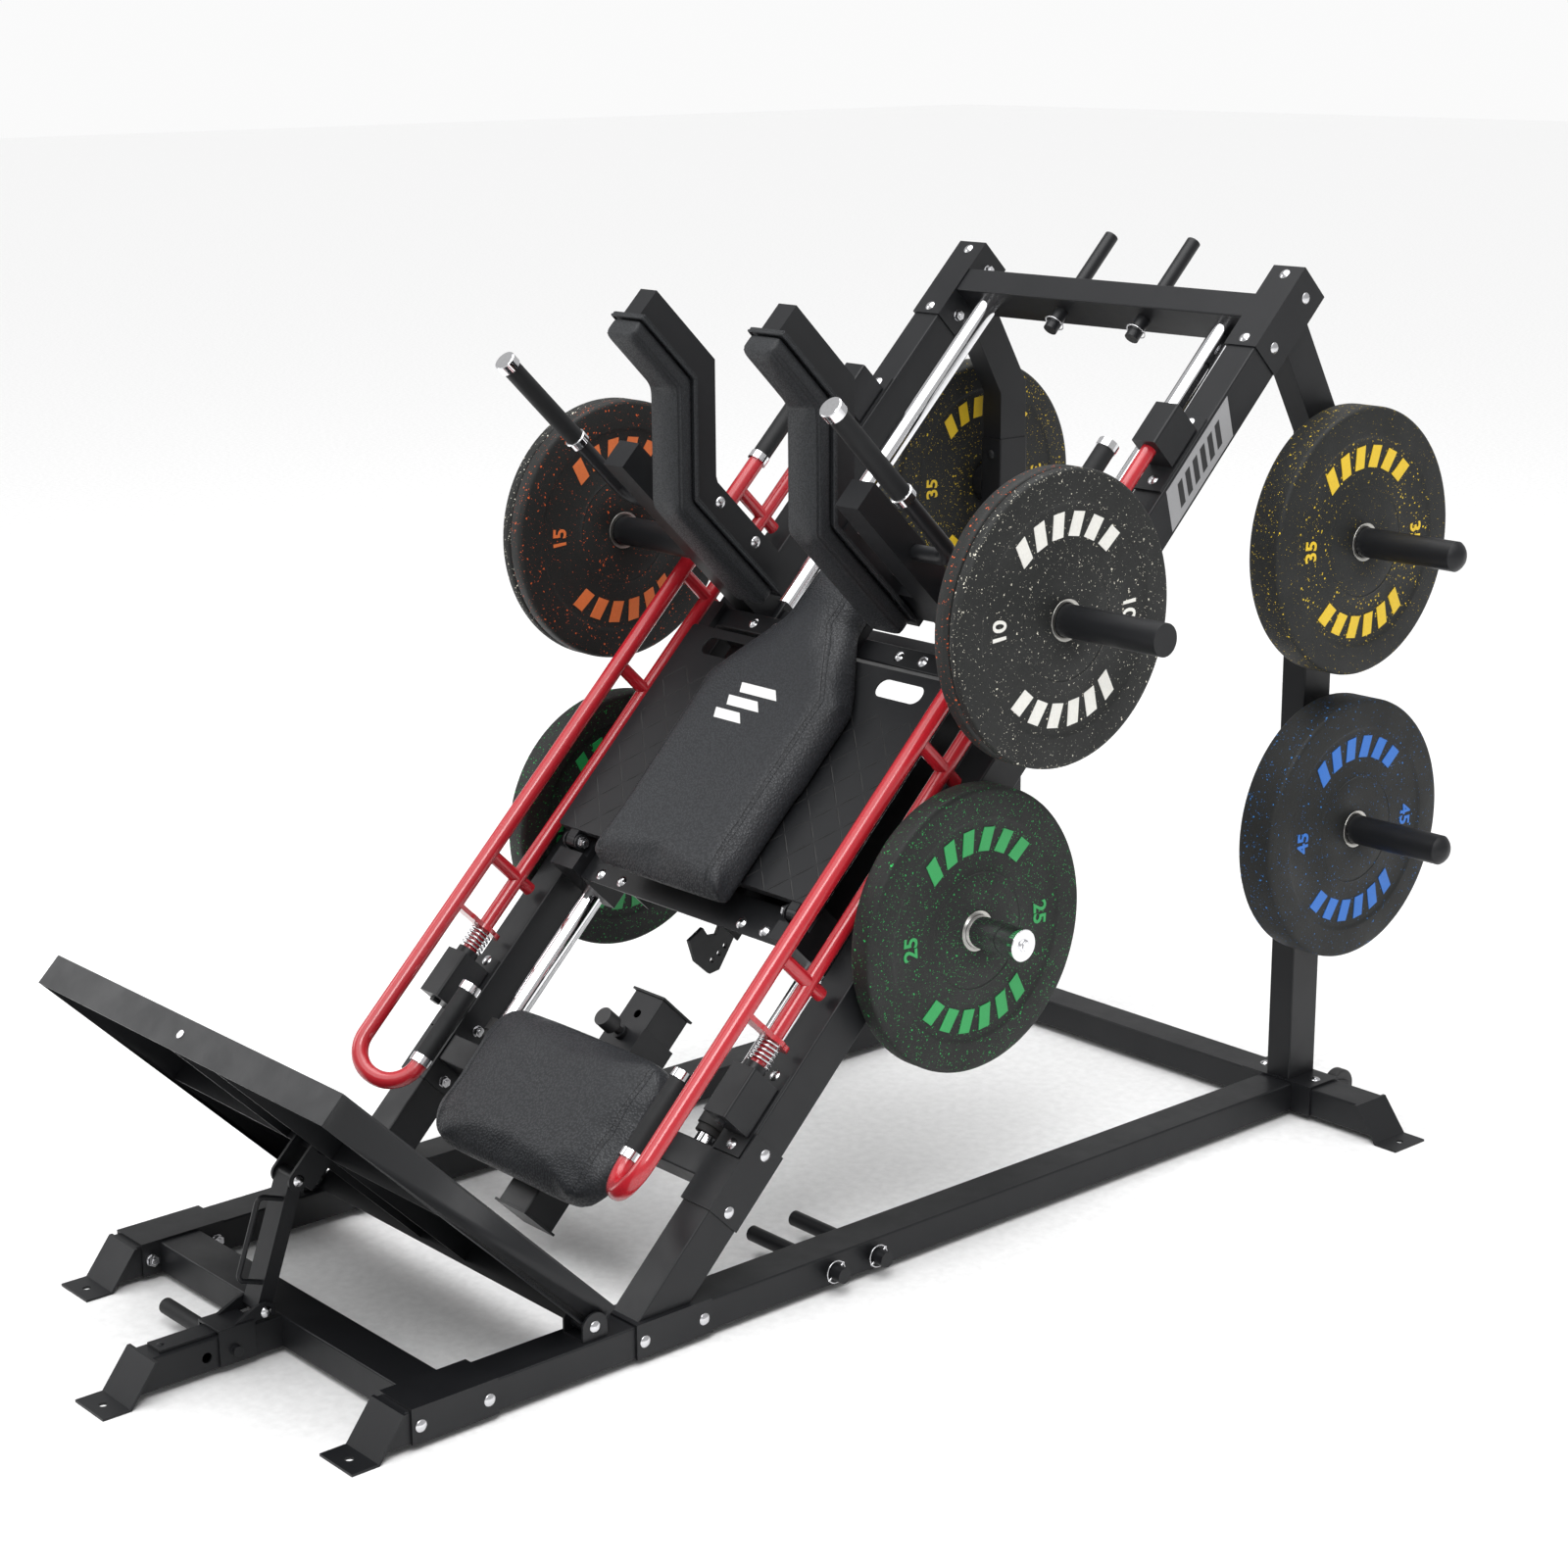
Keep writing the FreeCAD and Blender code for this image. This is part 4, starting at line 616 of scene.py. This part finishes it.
def weight_plate(node):
    weight = node.split("_")[1]
    low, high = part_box(node)
    centre = (low + high) / 2
    radius, thick = (high.z - low.z) / 2, high.x - low.x
    groove = min(0.003, thick / 8)
    half = [(0.0007, 0.0325), (0.0, 0.0335), (0.0, 0.0880), (0.0009, 0.0896), (0.0009, 0.0912),
            (0.0002, 0.0925), (groove, 0.0975), (groove, 0.1700), (groove * 0.7, 0.1735),
            (0.0002, 0.1765), (0.0, 0.1785), (0.0, radius - 0.0085), (0.0009, radius - 0.0050),
            (0.0028, radius - 0.0022), (0.0055, radius - 0.0006), (0.0085, radius)]
    profile = [(low.x + x, r) for x, r in half] + [(high.x - x, r) for x, r in reversed(half)]
    body = "plate_" + node.split("_", 1)[1]
    fleck, share = FLECKS[weight]
    rubber = crumb_rubber("crumb_rubber_" + node, fleck, share)
    mesh_piece(node + "_rubber", from_bmesh(lathe(profile, centre, 144), node), rubber, body, [node])
    hub = [(low.x + 0.0002, 0.0256), (low.x - 0.0003, 0.0262), (low.x - 0.0003, 0.0318),
           (low.x + 0.0006, 0.0324)]
    hub += [(low.x + high.x - x, r) for x, r in reversed(hub)]
    mesh_piece(node + "_hub_ring", from_bmesh(lathe(hub, centre, 96), node), HUB_STEEL, body)
    paint = coated("mark_paint_" + node, MARKS[weight], 300.0, 0.42, 0.55, 0.06)
    marks = bmesh.new()
    flat = digits_mesh(weight, DIGIT_HEIGHT)
    for face_x, out in ((high.x - groove, 1), (low.x + groove, -1)):
        places, turns = [], []
        for middle in (90, 270):
            for i in range(6):
                a = math.radians(middle + (2.5 - i) * BLOCK_STEP)
                places.append(Vector((face_x + out * 0.0003, centre.y + out * BLOCK_RING * math.cos(a),
                                      centre.z + BLOCK_RING * math.sin(a))))
                stand = Matrix(((0, 0, out, 0), (out, 0, 0, 0), (0, 1, 0, 0), (0, 0, 0, 1)))
                turned = stand @ Matrix.Rotation(a - math.pi / 2, 4, "Z")
                turns.append(tuple(turned.to_euler()))
        blocks = grown("blocks", point_mesh("block_points", places, turns), BLOCK_MARKS,
                       {"Size": BLOCK_SIZE, "Slant": BLOCK_SLANT, "Material": paint})
        marks.from_mesh(blocks)
        bpy.data.meshes.remove(blocks)
        for middle in (0, math.pi):
            add_digits(marks, flat, face_x, out, centre, middle, DIGIT_RING, 0.0011)
    bpy.data.meshes.remove(flat)
    mesh_piece(node + "_marks", from_bmesh(marks, node + "_marks"), paint, body, smooth=20)


for node in sorted(PLATES):
    weight_plate(node)

# ---------------------------------------------------------------- bright round pieces
def turned_part(name, start, end, profile, finish, body, nodes=(), steps=48):
    """Round piece turned about the line from start to end.

    profile is a list of (distance from start, radius) in millimetres.
    """
    along = (end - start).normalized()
    side = along.orthogonal().normalized()
    other = along.cross(side)
    shape = bmesh.new()
    rings = []
    for d, r in profile:
        middle = start + along * (d / 1000)
        rings.append([shape.verts.new(middle + (side * math.cos(a) + other * math.sin(a)) * (r / 1000))
                      for a in (2 * math.pi * i / steps for i in range(steps))])
    for one, two in zip(rings, rings[1:]):
        for i in range(steps):
            shape.faces.new((one[i], one[(i + 1) % steps], two[(i + 1) % steps], two[i]))
    shape.faces.new(rings[0])
    shape.faces.new(rings[-1])
    bmesh.ops.recalc_face_normals(shape, faces=shape.faces)
    return mesh_piece(name, from_bmesh(shape, name), finish, body, nodes)


ROD_X, ROD_R, ROD_H = 276, 19, -35
rod_low, rod_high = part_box("guide_rods")
rod_reach = Vector((0, ROD_R, ROD_R)) / 1000 / math.sqrt(2)
rod_s = (local(rod_low + rod_reach).y, local(rod_high - rod_reach).y)
length = rod_s[1] - rod_s[0]
for side, name in ((-1, "left"), (1, "right")):
    nodes = ["guide_rods"] if side < 0 else []
    turned_part("guide_rod_" + name, on_slope(side * ROD_X, rod_s[0], ROD_H),
                on_slope(side * ROD_X, rod_s[1], ROD_H), [(0, ROD_R), (length, ROD_R)], CHROME, "frame",
                nodes, 64)

# bright collars: place across, place up the rails, height off them, and profile
COLLAR = [(0, 1), (0, 16.6), (0.7, 17.8), (13.3, 17.8), (14, 16.6), (14, 1)]
HANDLE_COLLAR = [(0, 1), (0, 17.2), (0.8, 18.4), (14.2, 18.4), (15, 17.2), (15, 1)]
HANDLE_CAP = [(0, 1), (0, 17.2), (0.8, 18.4), (16.6, 18.4), (18.4, 16.4), (18.4, 1)]
BAR_COLLARS = (("upper_low", 366, 1480, 127), ("upper_high", 366, 1606, 127),
               ("lower_low", 272, 286, 74.5), ("lower_high", 272, 426, 74.5))
HANDLE_X, HANDLE_S = 391, 1270
for side, name in ((-1, "left"), (1, "right")):
    for label, x, s, h in BAR_COLLARS:
        turned_part("collar_%s_%s" % (label, name), on_slope(side * x, s, h),
                    on_slope(side * x, s + 14, h), COLLAR, CHROME, "bar_" + name)
    for label, h, profile in (("low", 430, HANDLE_COLLAR), ("high", 622, HANDLE_CAP)):
        turned_part("handle_collar_%s_%s" % (label, name), on_slope(side * HANDLE_X, HANDLE_S, h),
                    on_slope(side * HANDLE_X, HANDLE_S, h + 16), profile, CHROME, "carriage")

HORN_ROOT_X, HORN_S, HORN_H, HORN_LENGTH = 306, 867, -110, 244.2
for side, name in ((-1, "left"), (1, "right")):
    profile = [(0, 25.15), (HORN_LENGTH - 1.2, 25.15), (HORN_LENGTH, 23.8), (HORN_LENGTH, 10),
               (HORN_LENGTH + 2.6, 9.2), (HORN_LENGTH + 3.6, 7.5), (HORN_LENGTH + 3.6, 1)]
    turned_part("lower_horn_sleeve_" + name, on_slope(side * HORN_ROOT_X, HORN_S, HORN_H),
                on_slope(side * 600, HORN_S, HORN_H), profile, CHROME, "carriage", steps=64)

# ---------------------------------------------------------------- cushions
HALF_BEND = math.tan(math.radians(22.5))
ARM_X, ARM_S, KNEE, JOG, BOARD = 165, 1251, 337 + 50 * HALF_BEND, 138, 8
SHOULDER_DEPTH, SHOULDER_HALF, SHOULDER_LOW, SHOULDER_TOP = 44, 40, 118, 646


def crank(front_s, depth, low_h, top_h):
    """Outline (s, h) of a shoulder pad's side: up, back along the diagonal, and up again."""
    knee = KNEE + depth * HALF_BEND + (ARM_S - front_s - depth) * HALF_BEND
    back_knee = KNEE + (ARM_S - front_s - depth) * HALF_BEND
    back_s = front_s + depth
    front = [(front_s, low_h), (front_s, knee), (front_s + JOG, knee + JOG), (front_s + JOG, top_h)]
    back = [(back_s + JOG, top_h), (back_s + JOG, back_knee + JOG), (back_s, back_knee), (back_s, low_h)]
    return front, back


def prism(corners, sweep):
    """Closed solid between an outline of points and the same outline moved by sweep."""
    shape = bmesh.new()
    base = [shape.verts.new(p) for p in corners]
    face = shape.faces.new(base)
    moved = bmesh.ops.extrude_face_region(shape, geom=[face])["geom"]
    for vert in moved:
        if isinstance(vert, bmesh.types.BMVert):
            vert.co += sweep
    bmesh.ops.recalc_face_normals(shape, faces=shape.faces)
    return shape


def soften_corners(shape, corners, radius):
    """Rounds every edge between two of these corners."""
    chosen = [edge for edge in shape.edges
              if all(min((v.co - c).length for c in corners) < 0.0001 for v in edge.verts)]
    bmesh.ops.bevel(shape, geom=chosen, offset=radius, segments=6, profile=0.5, affect="EDGES",
                    clamp_overlap=True)


def dense(shape, name, voxel, rounds):
    """Even closed skin over a solid, with its edges rounded by smoothing."""
    made = link(name, from_bmesh(shape, name))
    skin = made.modifiers.new("skin", "REMESH")
    skin.mode = "VOXEL"
    skin.voxel_size = voxel
    calm = made.modifiers.new("calm", "SMOOTH")
    calm.factor, calm.iterations = 0.5, rounds
    return mesh_of(made, name)


def start_cloth(name, mesh, held, pressure):
    """Cloth skin blown up from inside and held where held(point) is true."""
    made = link(name, mesh)
    pinned = made.vertex_groups.new(name="held")
    pinned.add([v.index for v in mesh.vertices if held(local(v.co))], 1.0, "REPLACE")
    cloth = made.modifiers.new("cloth", "CLOTH")
    settings = cloth.settings
    settings.quality, settings.mass = 6, 0.35
    settings.tension_stiffness = settings.compression_stiffness = 15
    settings.shear_stiffness, settings.bending_stiffness = 8, 6
    settings.use_pressure, settings.uniform_pressure_force = True, pressure
    settings.vertex_group_mass = "held"
    settings.effector_weights.gravity = 0
    cloth.collision_settings.use_collision = False
    return made


def settled(made, cap, rounds):
    """Plain mesh of a blown-up skin, no point moved more than cap, evened by rounds of smoothing."""
    before = [v.co.copy() for v in made.data.vertices]
    mesh = mesh_of(made, made.name)
    for vert, old in zip(mesh.vertices, before):
        move = vert.co - old
        if move.length > cap:
            vert.co = old + move * (cap / move.length)
    fine = link("fine", mesh)
    calm = fine.modifiers.new("calm", "SMOOTH")
    calm.factor, calm.iterations = 0.5, rounds
    fine.modifiers.new("fine", "SUBSURF").levels = 1
    return mesh_of(fine, "fine")


def press_seams(mesh, seams, depth, width):
    """Draws the skin in along seam lines."""
    tree = BVHTree.FromPolygons([v.co for v in mesh.vertices], [p.vertices[:] for p in mesh.polygons])
    laid = []
    for seam in seams:
        laid.append([tree.find_nearest(p)[0] for p in evenly(seam, 0.002)])
    points = [p for line in laid for p in line]
    finder = KDTree(len(points))
    for i, p in enumerate(points):
        finder.insert(p, i)
    finder.balance()
    normals = [v.normal.copy() for v in mesh.vertices]
    for vert, normal in zip(mesh.vertices, normals):
        gap = finder.find(vert.co)[2]
        if gap < width * 3:
            vert.co -= normal * depth * math.exp(-(gap / width) ** 2)


def stitch_rows(name, mesh, rows, body):
    """Threads lying on a skin along rows of points."""
    tree = BVHTree.FromPolygons([v.co for v in mesh.vertices], [p.vertices[:] for p in mesh.polygons])
    laid = []
    for row in rows:
        hits = [tree.find_nearest(p) for p in evenly(row, 0.004)]
        laid.append([hit[0] + hit[1] * 0.0001 for hit in hits])
    threads = grown(name, chain_mesh(name, laid), STITCHES,
                    {"Spacing": 0.0048, "Length": 0.0034, "Radius": 0.00045, "Material": THREAD})
    mesh_piece(name, threads, THREAD, body, smooth=60)


def back_outline(inset):
    """Right half of the back pad's outline (x, s), from the bottom up."""
    return [(168 - inset, 697 + inset), (175 - inset, 1075 - inset * 0.4),
            (82 - inset, 1211 - inset * 0.4), (75 - inset, 1320 - inset)]


cushions = {}
corners = [(x, s) for x, s in back_outline(7)] + [(-x, s) for x, s in reversed(back_outline(7))]
back_solid = prism([on_slope(x, s, 81) for x, s in corners], OFF_SLOPE * 0.049)
soften_corners(back_solid, [on_slope(x, s, 130) for x, s in corners], 0.016)
cushions["back_pad"] = start_cloth("back_cushion", dense(back_solid, "back_cushion", 0.0055, 4),
                                   lambda p: p.z < 92, 4.0)


def seat_outline(inset, corner):
    """Seat pad's outline (x, s) with rounded corners."""
    points = []
    middles = ((1, 1), (-1, 1), (-1, -1), (1, -1))
    for k, (sx, ss) in enumerate(middles):
        for i in range(7):
            a = math.radians(90 * k + 15 * i)
            points.append((sx * (225 - inset - corner) + corner * math.cos(a),
                           324 + ss * (134 - inset - corner) + corner * math.sin(a)))
    return points


corners = seat_outline(7, 62)
seat_solid = prism([on_slope(x, s, 6) for x, s in corners], OFF_SLOPE * 0.048)
soften_corners(seat_solid, [on_slope(x, s, 54) for x, s in corners], 0.018)
cushions["seat_pad"] = start_cloth("seat_cushion", dense(seat_solid, "seat_cushion", 0.0055, 4),
                                   lambda p: p.z < 18, 4.0)
for side, name in ((-1, "left"), (1, "right")):
    front, back = crank(ARM_S - BOARD - SHOULDER_DEPTH + 7, SHOULDER_DEPTH - 9, SHOULDER_LOW + 5,
                        SHOULDER_TOP - 5)
    x0 = side * ARM_X - SHOULDER_HALF + 4
    solid = prism([on_slope(x0, s, h) for s, h in front + back], Vector((0.072, 0, 0)))
    soft = [on_slope(x, s, h) for s, h in front for x in (x0, x0 + 72)]
    soften_corners(solid, soft, 0.011)
    back_face = ARM_S - BOARD - 2

    def held(p, line=back_face):
        along = min(max(p.z - KNEE - 4, 0), JOG)
        return p.y - along > line - 9

    cushions["shoulder_pad_" + name] = start_cloth(
        "shoulder_cushion_" + name, dense(solid, "shoulder_cushion_" + name, 0.0045, 6), held, 3.5)

for moment in range(1, 21):
    bpy.context.scene.frame_set(moment)

CAPS = {"back_pad": 0.010, "seat_pad": 0.013, "shoulder_pad_left": 0.006, "shoulder_pad_right": 0.006}


def seam_lines(node):
    """Seam paths of one cushion: the pressed line, and the thread rows beside it."""
    if node == "back_pad":
        line = [(135, 706), (139, 1064), (50, 1200), (45, 1312)]
        return [[[on_slope(side * (x + off), s, 142) for x, s in line] for side in (-1, 1)]
                for off in (0, 3.2, -3.2)]
    if node == "seat_pad":
        line = [(186, 205), (190, 324), (186, 443)]
        return [[[on_slope(side * (x + off), s, 68) for x, s in line] for side in (-1, 1)]
                for off in (0, 3.2, -3.2)]
    middle = ARM_X if node.endswith("right") else -ARM_X
    rows = []
    for off in (0, 3.0, -3.0):
        front = crank(ARM_S - BOARD - SHOULDER_DEPTH + 13 + off, SHOULDER_DEPTH - 13 - off,
                      SHOULDER_LOW + 6, SHOULDER_TOP - 6)[0]
        rows.append([[on_slope(middle + side * 43, s, h) for s, h in front] for side in (-1, 1)])
    return rows


BODY_OF = {"back_pad": "carriage", "seat_pad": "seat", "shoulder_pad_left": "carriage",
           "shoulder_pad_right": "carriage"}
skins = {}
for node, made in cushions.items():
    mesh = settled(made, CAPS[node], 34 if node in ("back_pad", "seat_pad") else 12)
    line, above, below = seam_lines(node)
    press_seams(mesh, line, 0.0016, 0.0022)
    skins[node] = mesh
    grain = LEATHER if node in ("back_pad", "seat_pad") else LEATHER_FINE
    piece = mesh_piece(node + "_cushion", mesh, grain, BODY_OF[node], [node], smooth=80)
    stitch_rows(node + "_stitches", mesh, above + below, BODY_OF[node])

# boards and edge cords of the shoulder pads
for side, name in ((-1, "left"), (1, "right")):
    front, back = crank(ARM_S - BOARD, BOARD - 0.4, SHOULDER_LOW + 1, SHOULDER_TOP - 1)
    x0 = side * ARM_X - SHOULDER_HALF + 1
    solid = prism([on_slope(x0, s, h) for s, h in front + back], Vector((0.078, 0, 0)))
    bmesh.ops.bevel(solid, geom=solid.edges[:], offset=0.002, segments=3, affect="EDGES")
    mesh_piece("shoulder_board_" + name, from_bmesh(solid, "shoulder_board"), LEATHER_FINE, "carriage")
    line = crank(ARM_S - BOARD, BOARD, SHOULDER_LOW + 2.5, SHOULDER_TOP - 2.5)[0]
    loop = [on_slope(side * ARM_X + 38, s, h) for s, h in line]
    loop += [on_slope(side * ARM_X - 38, s, h) for s, h in reversed(line)]
    loop = evenly(loop + [loop[0]], 0.01)[:-1]
    cord = grown("cord", chain_mesh("cord", [loop], True), EDGE_CORD,
                 {"Radius": 0.0024, "Material": LEATHER_FINE})
    mesh_piece("shoulder_edge_cord_" + name, cord, LEATHER_FINE, "carriage", smooth=60)


# ---------------------------------------------------------------- marks and small trim
def laid_patch(corners, skin, name, finish, body, lift=0.0004, across=10):
    """Thin patch of four corners laid on a skin."""
    tree = BVHTree.FromPolygons([v.co for v in skin.vertices], [p.vertices[:] for p in skin.polygons])
    shape = bmesh.new()
    grid = []
    for i in range(across + 1):
        a, b = corners[0].lerp(corners[1], i / across), corners[3].lerp(corners[2], i / across)
        column = []
        for j in range(across + 1):
            spot, normal = tree.find_nearest(a.lerp(b, j / across))[:2]
            column.append(shape.verts.new(spot + normal * lift))
        grid.append(column)
    for i in range(across):
        for j in range(across):
            shape.faces.new((grid[i][j], grid[i + 1][j], grid[i + 1][j + 1], grid[i][j + 1]))
    closed = bmesh.ops.extrude_face_region(shape, geom=shape.faces[:])["geom"]
    for vert in closed:
        if isinstance(vert, bmesh.types.BMVert):
            vert.co -= OFF_SLOPE * 0.0009
    bmesh.ops.recalc_face_normals(shape, faces=shape.faces)
    mesh_piece(name, from_bmesh(shape, name), finish, body, smooth=30)


emblem = (((-58, 985), (8, 985), (-8, 1003), (-66, 1003)),
          ((-48, 1012), (30, 1012), (14, 1030), (-56, 1030)),
          ((-38, 1039), (52, 1039), (36, 1057), (-46, 1057)))
for i, patch in enumerate(emblem):
    laid_patch([on_slope(x, s, 145) for x, s in patch], skins["back_pad"], "pad_emblem_%d" % (i + 1),
               PAD_MARK, "carriage")

RING = [(0, 4.2), (0, 6.4), (0.8, 6.9), (1.1, 6.0), (1.1, 4.6), (0.6, 4.2)]
PLUG = [(0, 1), (0, 4.3), (0.4, 4.3), (0.4, 1)]
for label, profile, finish in (("ring", RING, ZINC), ("plug", PLUG, BUMPER)):
    turned_part("foot_plate_hole_" + label, on_slope(0, 66, 665), on_slope(0, 66, 670), profile, finish,
                "foot_plate", steps=32)
RAIL_OUT = rail_high.x
for side, name in ((-1, "left"), (1, "right")):
    corners = [(1598, -64), (1632, -5), (1830, -5), (1796, -64)]
    panel = prism([on_slope(side * (RAIL_OUT * 1000 - 0.2), s, h) for s, h in corners],
                  Vector((side * 0.0009, 0, 0)))
    bmesh.ops.recalc_face_normals(panel, faces=panel.faces)
    mesh_piece("side_panel_" + name, from_bmesh(panel, "side_panel"), PANEL_SILVER, "frame")
    stripes = bmesh.new()
    for i in range(6):
        s0 = 1637 + 24 * i
        corners = [(s0, -52), (s0 + 20, -17), (s0 + 34, -17), (s0 + 14, -52)]
        one = prism([on_slope(side * (RAIL_OUT * 1000 + 0.3), s, h) for s, h in corners],
                    Vector((side * 0.0007, 0, 0)))
        part = from_bmesh(one, "stripe")
        stripes.from_mesh(part)
        bpy.data.meshes.remove(part)
    mesh_piece("side_panel_stripes_" + name, from_bmesh(stripes, "stripes"), PLASTIC, "frame")

# ---------------------------------------------------------------- floor, light, camera
floor_mesh = bpy.data.meshes.new("floor")
floor_mesh.from_pydata([(-40, -40, 0), (40, -40, 0), (40, 40, 0), (-40, 40, 0)], [], [(0, 1, 2, 3)])
floor = link("floor", floor_mesh)
floor_mesh.materials.append(coated("floor_pale", (1.0, 1.0, 1.0), 60.0, 0.8, 0.9, 0.02))

world = bpy.data.worlds.new("studio")
bpy.context.scene.world = world
world.use_nodes = True
sky = world.node_tree.nodes["Background"]
sky.inputs["Color"].default_value = (1.0, 1.0, 1.0, 1)
sky.inputs["Strength"].default_value = 0.54
backdrop = put_node(world.node_tree, "ShaderNodeBackground",
                    {"Color": (1.0, 1.0, 1.0, 1), "Strength": 0.96})
path = put_node(world.node_tree, "ShaderNodeLightPath")
seen = put_node(world.node_tree, "ShaderNodeMixShader", {0: path.outputs["Is Camera Ray"],
                1: sky.outputs["Background"], 2: backdrop.outputs["Background"]})
world.node_tree.links.new(seen.outputs["Shader"], world.node_tree.nodes["World Output"].inputs["Surface"])
bpy.context.scene.view_settings.view_transform = "Standard"


def soft_light(name, place, size, power, aim):
    lamp = bpy.data.lights.new(name, "AREA")
    lamp.shape, lamp.size, lamp.size_y, lamp.energy = "RECTANGLE", size[0], size[1], power
    made = bpy.data.objects.new(name, lamp)
    bpy.context.scene.collection.objects.link(made)
    made.location = place
    made.rotation_euler = (Vector(aim) - Vector(place)).to_track_quat("-Z", "Y").to_euler()


soft_light("key_light", (2.6, -2.4, 3.8), (1.6, 1.6), 60, (0, 0, 0.7))
soft_light("fill_light", (-3.6, -2.6, 2.6), (1.8, 2.4), 45, (0, 0, 0.8))
soft_light("top_light", (0.0, 0.6, 5.2), (4.5, 4.5), 150, (0, 0.2, 0.5))
sunlight = bpy.data.lights.new("even_light", "SUN")
sunlight.energy, sunlight.angle = 1.75, math.radians(70)
sun = bpy.data.objects.new("even_light", sunlight)
bpy.context.scene.collection.objects.link(sun)
sun.rotation_euler = (math.radians(18), math.radians(8), 0)

CAMERA_PLACE = (3.4466, -2.90561, 1.89341)
TURN, RISE, ROLL = math.radians(48.89), math.radians(14.89), math.radians(-0.34)
back_way = Vector((math.sin(TURN) * math.cos(RISE), -math.cos(TURN) * math.cos(RISE), math.sin(RISE)))
right_way = (-back_way).cross(Vector((0, 0, 1))).normalized()
up_way = right_way.cross(-back_way)
right_tilt = right_way * math.cos(ROLL) + up_way * math.sin(ROLL)
up_tilt = up_way * math.cos(ROLL) - right_way * math.sin(ROLL)
lens = bpy.data.cameras.new("camera")
lens.sensor_width, lens.lens, lens.clip_end = 36, 66.90, 60
camera = bpy.data.objects.new("camera", lens)
bpy.context.scene.collection.objects.link(camera)
facing = Matrix((right_tilt, up_tilt, back_way)).transposed()
camera.matrix_world = Matrix.Translation(CAMERA_PLACE) @ facing.to_4x4()
bpy.context.scene.camera = camera
